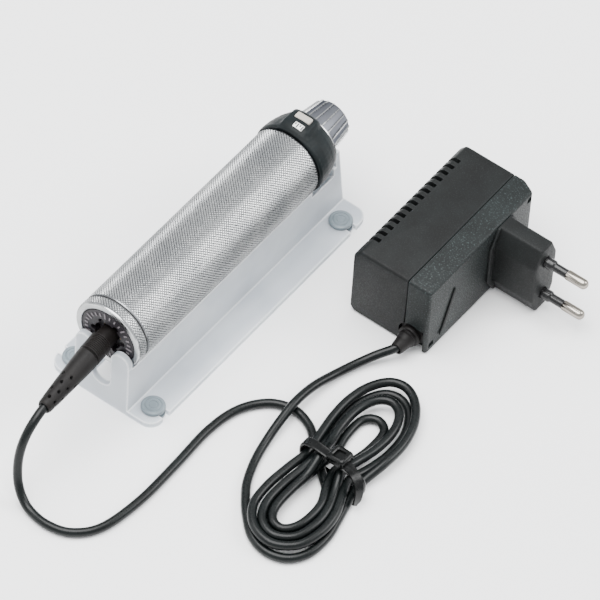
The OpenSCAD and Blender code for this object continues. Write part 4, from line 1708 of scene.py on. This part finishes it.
@dataclass
class Lead:
    """The lead from the plug's boot round the hank to the supply, with the hank's tie."""

    radius: float = 1.8
    step: float = 1.6
    with_nodes: tuple[str, ...] = (
        "plug_nose", "laminated_core", "bobbin", "primary_winding", "secondary_winding",
        "rectifier_board", "diodes", "capacitor"
    )
    fall: tuple[tuple[float, float, float], ...] = (
        (1.28, -96, 33.34), (1.6, -103.4, 32.8), (1.9, -108.4, 31.4), (1.9, -112.4, 28.6),
        (1.8, -115.6, 24.2), (1.9, -117.8, 18.8),
        (2.6, -119.4, 13.4), (4.2, -121, 8.4), (7.5, -122.8, 4.2), (13, -124.6, 1.8),
        (22, -125.6, 1.8), (31, -122.6, 1.8), (38, -113.5, 1.8), (41, -95.5, 1.8),
        (41, -74, 1.8), (40.4, -54, 1.8), (43, -39.5, 1.8), (50, -29.5, 1.8), (59.5, -26, 1.8),
        (68.5, -28.6, 1.8), (75, -34.5, 1.8),
    )
    turns: tuple[tuple[float, float, float], ...] = (
        # under the tie and round the hidden lower turn
        (79.5, -38.6, 1.8), (85, -43, 1.8), (90.5, -48, 1.8), (95, -54.5, 1.8), (97, -62, 1.8),
        (96.2, -69.5, 1.8), (92.8, -75, 1.8),
        (87.6, -76.8, 1.8), (83.2, -73.6, 1.8), (81, -67.5, 1.8), (80.6, -60, 1.8),
        (81.8, -51, 2.6), (83.2, -45.5, 4.6), (83.9, -41, 5.4),
        # the small upper turn
        (84.2, -37, 4.0), (83.6, -32, 2.0), (81.9, -25, 1.8), (81.5, -17, 1.8), (82.9, -12.4, 1.8),
        (86.9, -10.3, 1.8), (90.9, -12.4, 1.8), (92.3, -17, 1.8),
        (92, -26, 1.8), (90.4, -34, 2.4), (89.3, -41, 4.3),
        # the innermost lower turn
        (91.6, -49, 5.0), (95, -57, 5.0), (95.4, -65, 5.0), (94, -71, 5.0), (90.8, -74.8, 5.0),
        (86.6, -74.6, 5.0), (83.6, -71.2, 5.0), (82.4, -65.5, 5.0),
        (82.4, -57, 5.0), (83, -49, 5.6), (82.6, -41, 8.6),
        # the second upper turn
        (80.8, -33, 5.6), (79, -24, 5.0), (78.8, -14, 5.0), (81.6, -5.5, 5.0), (87, -2.2, 5.0),
        (92.6, -5.6, 5.0), (95.6, -14, 5.0),
        (95.4, -24, 5.0), (93.4, -34, 5.6), (92.6, -41, 7.2),
        # the second lower turn
        (95.4, -49, 5.4), (98.6, -58, 5.0), (99, -66.5, 5.0), (96.4, -75, 5.0), (89.6, -79.2, 5.0),
        (82.6, -76.4, 5.0), (79, -69, 5.0),
        (78.6, -59, 5.0), (79.8, -49, 5.2), (80.3, -41, 5.5),
        # the third upper turn
        (78.6, -33.5, 4.0), (76.6, -26, 2.0), (75.4, -16, 1.8), (76.8, -6, 1.8), (81.2, 1.4, 1.8),
        (87.6, 3, 1.8), (93.8, -0.8, 1.8), (98.2, -9.5, 1.8),
        (99.3, -20, 1.8), (97.8, -31, 2.4), (96, -41, 4.2),
        # the third lower turn
        (98.6, -49, 5.0), (102, -58, 5.0), (102.6, -67.5, 5.0), (99.6, -77.2, 5.0),
        (91.6, -82.6, 5.0), (82.4, -80.6, 5.0), (76, -73.4, 5.0),
        (74.4, -63, 5.0), (75.4, -51, 5.2), (76.8, -41, 5.4),
        # the outer upper turn
        (75.4, -32, 5.2), (73.8, -22, 5.0), (73.6, -12, 5.0), (75.6, -2.5, 5.0), (80.4, 4.8, 5.0),
        (87, 6.6, 5.0), (94, 2.6, 5.0), (99.4, -5.6, 5.0),
        (102, -16, 5.0), (101.8, -27, 4.8), (100, -36, 3.2), (99.5, -41, 2.2),
    )
    tail: tuple[tuple[float, float, float], ...] = (
        (100.6, -48, 1.8), (102.8, -57, 1.8), (104.5, -66, 1.8), (103.6, -76, 1.8),
        (98.6, -82.8, 1.8), (90.6, -85, 1.8), (82.4, -82.4, 1.8),
        (75, -75.8, 1.8), (70.2, -70, 1.8), (66.2, -63.8, 1.8), (62.6, -54.5, 1.8),
        (60.5, -45, 2.4), (59.5, -35, 4.2), (59, -25, 5.5),
        (59.4, -14, 4.4), (61.6, -3, 2.8), (65.3, 7, 3), (68.8, 13, 4.4), (72, 17, 5.8),
        (73.6, 20, 6.6), (73.6, 25, 6.6), (73.6, 31, 6.6), (74.4, 38, 7.4), (75.5, 47, 9),
    )

    def line(self) -> list[Vector]:
        """The whole centreline, from inside the plug's boot to inside the supply's."""
        return smooth_line([*self.fall, *self.turns, *self.tail], self.step)

    def build(self, finishes: Finishes, boot: bpy.types.Object) -> None:
        """Args:
            finishes: the set's materials.
            boot: the plug's boot, whose transform is baked into its mesh.
        """
        line = self.line()
        form = Form()
        form.tube(line, lambda i: self.radius, 20)
        nodes = ["cord_lead", "cord_run", "cord_tail", "cord_hank"]
        lead = form.piece(
            "lead_jacketed", [finishes.of("lead_jacket")], None, "lead_jacket", nodes, 60
        )
        tie = self.build_tie(finishes)
        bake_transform(boot)
        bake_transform(lead)

    def build_tie(self, finishes: Finishes) -> bpy.types.Object:
        """Builds the tie: a strap round the bundle, its head and its short free end.

        Args:
            finishes: the set's materials.

        Returns:
            The tie.
        """
        form = Form()
        middle, half_x, half_z = Vector((88.3, -41.2, 5.3)), 14.1, 5.9
        count = 72
        squareness = 0.62  # 1 is an ellipse, less is squarer

        def section(i: int) -> list[Vector]:
            """The strap's cross-section at station i of its loop round the strands."""
            t = 2 * math.pi * i / count
            c, s = math.cos(t), math.sin(t)
            wide = half_x * math.copysign(abs(c) ** squareness, c)
            tall = half_z * math.copysign(abs(s) ** squareness, s)
            here = Vector((wide, 0, tall))
            out = Vector((c / half_x, 0, s / half_z)).normalized()
            lean = Vector((0, -0.10 * here.x, 0))
            ridge = 0.12 if i % 2 else 0.0
            flat = [
                (-1.9, 0.0), (-2.1, 0.35), (-2.0, 0.8), (-1.5, 1.0), (-1.2, 0.85 + ridge),
                (1.2, 0.85 + ridge), (1.5, 1.0), (2.0, 0.8), (2.1, 0.35), (1.9, 0.0)
            ]
            points = [middle + here + lean + Vector((0, w, 0)) + out * h for w, h in flat]
            return [Vector((p.x, p.y, max(p.z, 0.05))) for p in points]

        loops = [form.loop(section(i)) for i in range(count)]
        for a, b in zip(loops, loops[1:] + loops[:1]):
            form.bridge(a, b)
        head = Vector((90.3, -40.2, 12.9))
        outline = rounded([(-4.2, -3.4), (4.2, -3.9), (4.4, 3.4), (-3.9, 3.9)], 1.6, 4, closed=True)
        steps = [
            (-1.7, 0.92), (-1.4, 1.0), (1.0, 1.0), (1.5, 0.95), (1.85, 0.84), (2.0, 0.62),
            (1.7, 0.5), (0.9, 0.46)
        ]
        rings = [
            form.loop(head + Vector((p * k, q * k, z + 0.12 * p)) for p, q in outline)
            for z, k in steps
        ]
        for a, b in zip(rings, rings[1:]):
            form.bridge(a, b)
        form.face(rings[0])
        form.face(rings[-1])
        free = smooth_line(
            [
                (93, -41.2, 12.6), (97, -42, 12.4), (100.6, -43.2, 10.8), (103, -44.8, 8.0),
                (103.9, -46.6, 5.0), (103.8, -48.4, 2.9)
            ],
            0.8
        )
        rings = []
        for i, here in enumerate(free):
            way = (free[min(i + 1, len(free) - 1)] - free[max(i - 1, 0)]).normalized()
            across = Vector((0.15, 1, 0))
            across = (across - way * across.dot(way)).normalized()
            out = across.cross(way).normalized()
            w = 1.9 if i < len(free) - 2 else 1.3
            rings.append(
                form.loop(here + across * p * w + out * q
                for p,
                q in ((-1, -0.45), (1, -0.45), (1.05, 0.1), (0.8, 0.5), (-0.8, 0.5), (-1.05, 0.1)))
            )
        for a, b in zip(rings, rings[1:]):
            form.bridge(a, b)
        form.face(rings[0])
        form.face(rings[-1])
        return form.piece(
            "hank_tie_strap", [finishes.of("tie_plastic")], Body.REST, "tie_plastic", ["hank_tie"],
            38
        )


# ---------------------------------------------------------------- studio


@dataclass
class Studio:
    """A pale floor, soft light from large panels, and the camera."""

    yaw: float = 33.85
    pitch: float = 50.68
    roll: float = 4.2
    lens: float = 366.0
    distance: float = 2267.7
    aside: tuple[float, float] = (72.4, 35.6)
    aim: tuple[float, float, float] = (0.0, -64.0, 0.0)

    def build(self) -> None:
        """Builds the floor, the lights and the camera."""
        self.build_camera()
        self.build_floor()
        self.build_world()
        self.panel("top", (-0.15, -0.15, 1.5), (0.03, 0.0, 0.0), 1.3, 56.0)
        self.panel("key", (0.85, 0.75, 0.95), (0.02, 0.0, 0.02), 0.7, 16.0)
        self.panel("fill", (-0.9, -0.7, 0.6), (0.02, 0.0, 0.0), 0.7, 4.0)

    def build_camera(self) -> None:
        """Places the camera."""
        a, e, roll = (math.radians(x) for x in (self.yaw, self.pitch, self.roll))
        back = Vector((math.sin(a) * math.cos(e), -math.cos(a) * math.cos(e), math.sin(e)))
        right = (-back).cross(Vector((0, 0, 1))).normalized()
        up = right.cross(-back)
        right, up = right * math.cos(
            roll
        ) + up * math.sin(roll), up * math.cos(roll) - right * math.sin(roll)
        data = bpy.data.cameras.new("camera")
        data.lens = self.lens
        data.sensor_width = 36.0
        data.clip_start, data.clip_end = 0.1, 20.0
        camera = bpy.data.objects.new("camera", data)
        camera.location = (
            Vector(self.aim) + right * self.aside[0] + up * self.aside[1] + back * self.distance
        ) * MM
        camera.rotation_euler = Matrix((right, up, back)).transposed().to_euler()
        bpy.context.scene.collection.objects.link(camera)
        bpy.context.scene.camera = camera

    def build_floor(self) -> None:
        """Lays a plain pale floor under the feet."""
        mesh = bpy.data.meshes.new("floor")
        mesh.from_pydata(
            [(-6, -6, -0.0001), (6, -6, -0.0001), (6, 6, -0.0001), (-6, 6, -0.0001)], [],
            [(0, 1, 2, 3)]
        )
        d = Dressing("floor_paper")
        d.join(Base_Color=d.ramp(d.noise(300.0, 2.0), 0.3, 0.7, "fbfbfb", "ffffff"))
        d.fix(Roughness=0.9, Specular_IOR_Level=0.1)
        mesh.materials.append(d.material)
        floor = bpy.data.objects.new("floor", mesh)
        bpy.context.scene.collection.objects.link(floor)

    def build_world(self) -> None:
        """Surrounds the set with an even pale light."""
        world = bpy.data.worlds.new("studio")
        bpy.context.scene.world = world
        world.use_nodes = True
        world.node_tree.nodes["Background"].inputs["Color"].default_value = linear("f4f6f8")
        world.node_tree.nodes["Background"].inputs["Strength"].default_value = 1.25

    def panel(
        self, name: str, place: Sequence[float], target: Sequence[float], size: float, power: float
    ) -> None:
        """Adds one square light panel.

        Args:
            name: its name.
            place: where it hangs, in metres.
            target: the point that it faces.
            size: length of a side, in metres.
            power: its power in watts.
        """
        data = bpy.data.lights.new(name, "AREA")
        data.size, data.energy = size, power
        lamp = bpy.data.objects.new(name, data)
        lamp.location = place
        lamp.rotation_euler = (Vector(target) - Vector(place)).to_track_quat("-Z", "Y").to_euler()
        bpy.context.scene.collection.objects.link(lamp)


def main() -> None:
    """Builds the camera and the lead's surroundings first, then every sub-assembly."""
    logging.basicConfig(level=logging.INFO, format="%(name)s %(message)s")
    finishes = Finishes()
    Studio().build()
    Rest().build(finishes)
    Handle().build(finishes)
    BottomRing().build(finishes)
    Dimmer().build(finishes)
    RibbedCap().build(finishes)
    Supply().build(finishes)
    boot = ChargingPlug().build(finishes)
    Lead().build(finishes, boot)


if __name__ == "__main__":
    main()
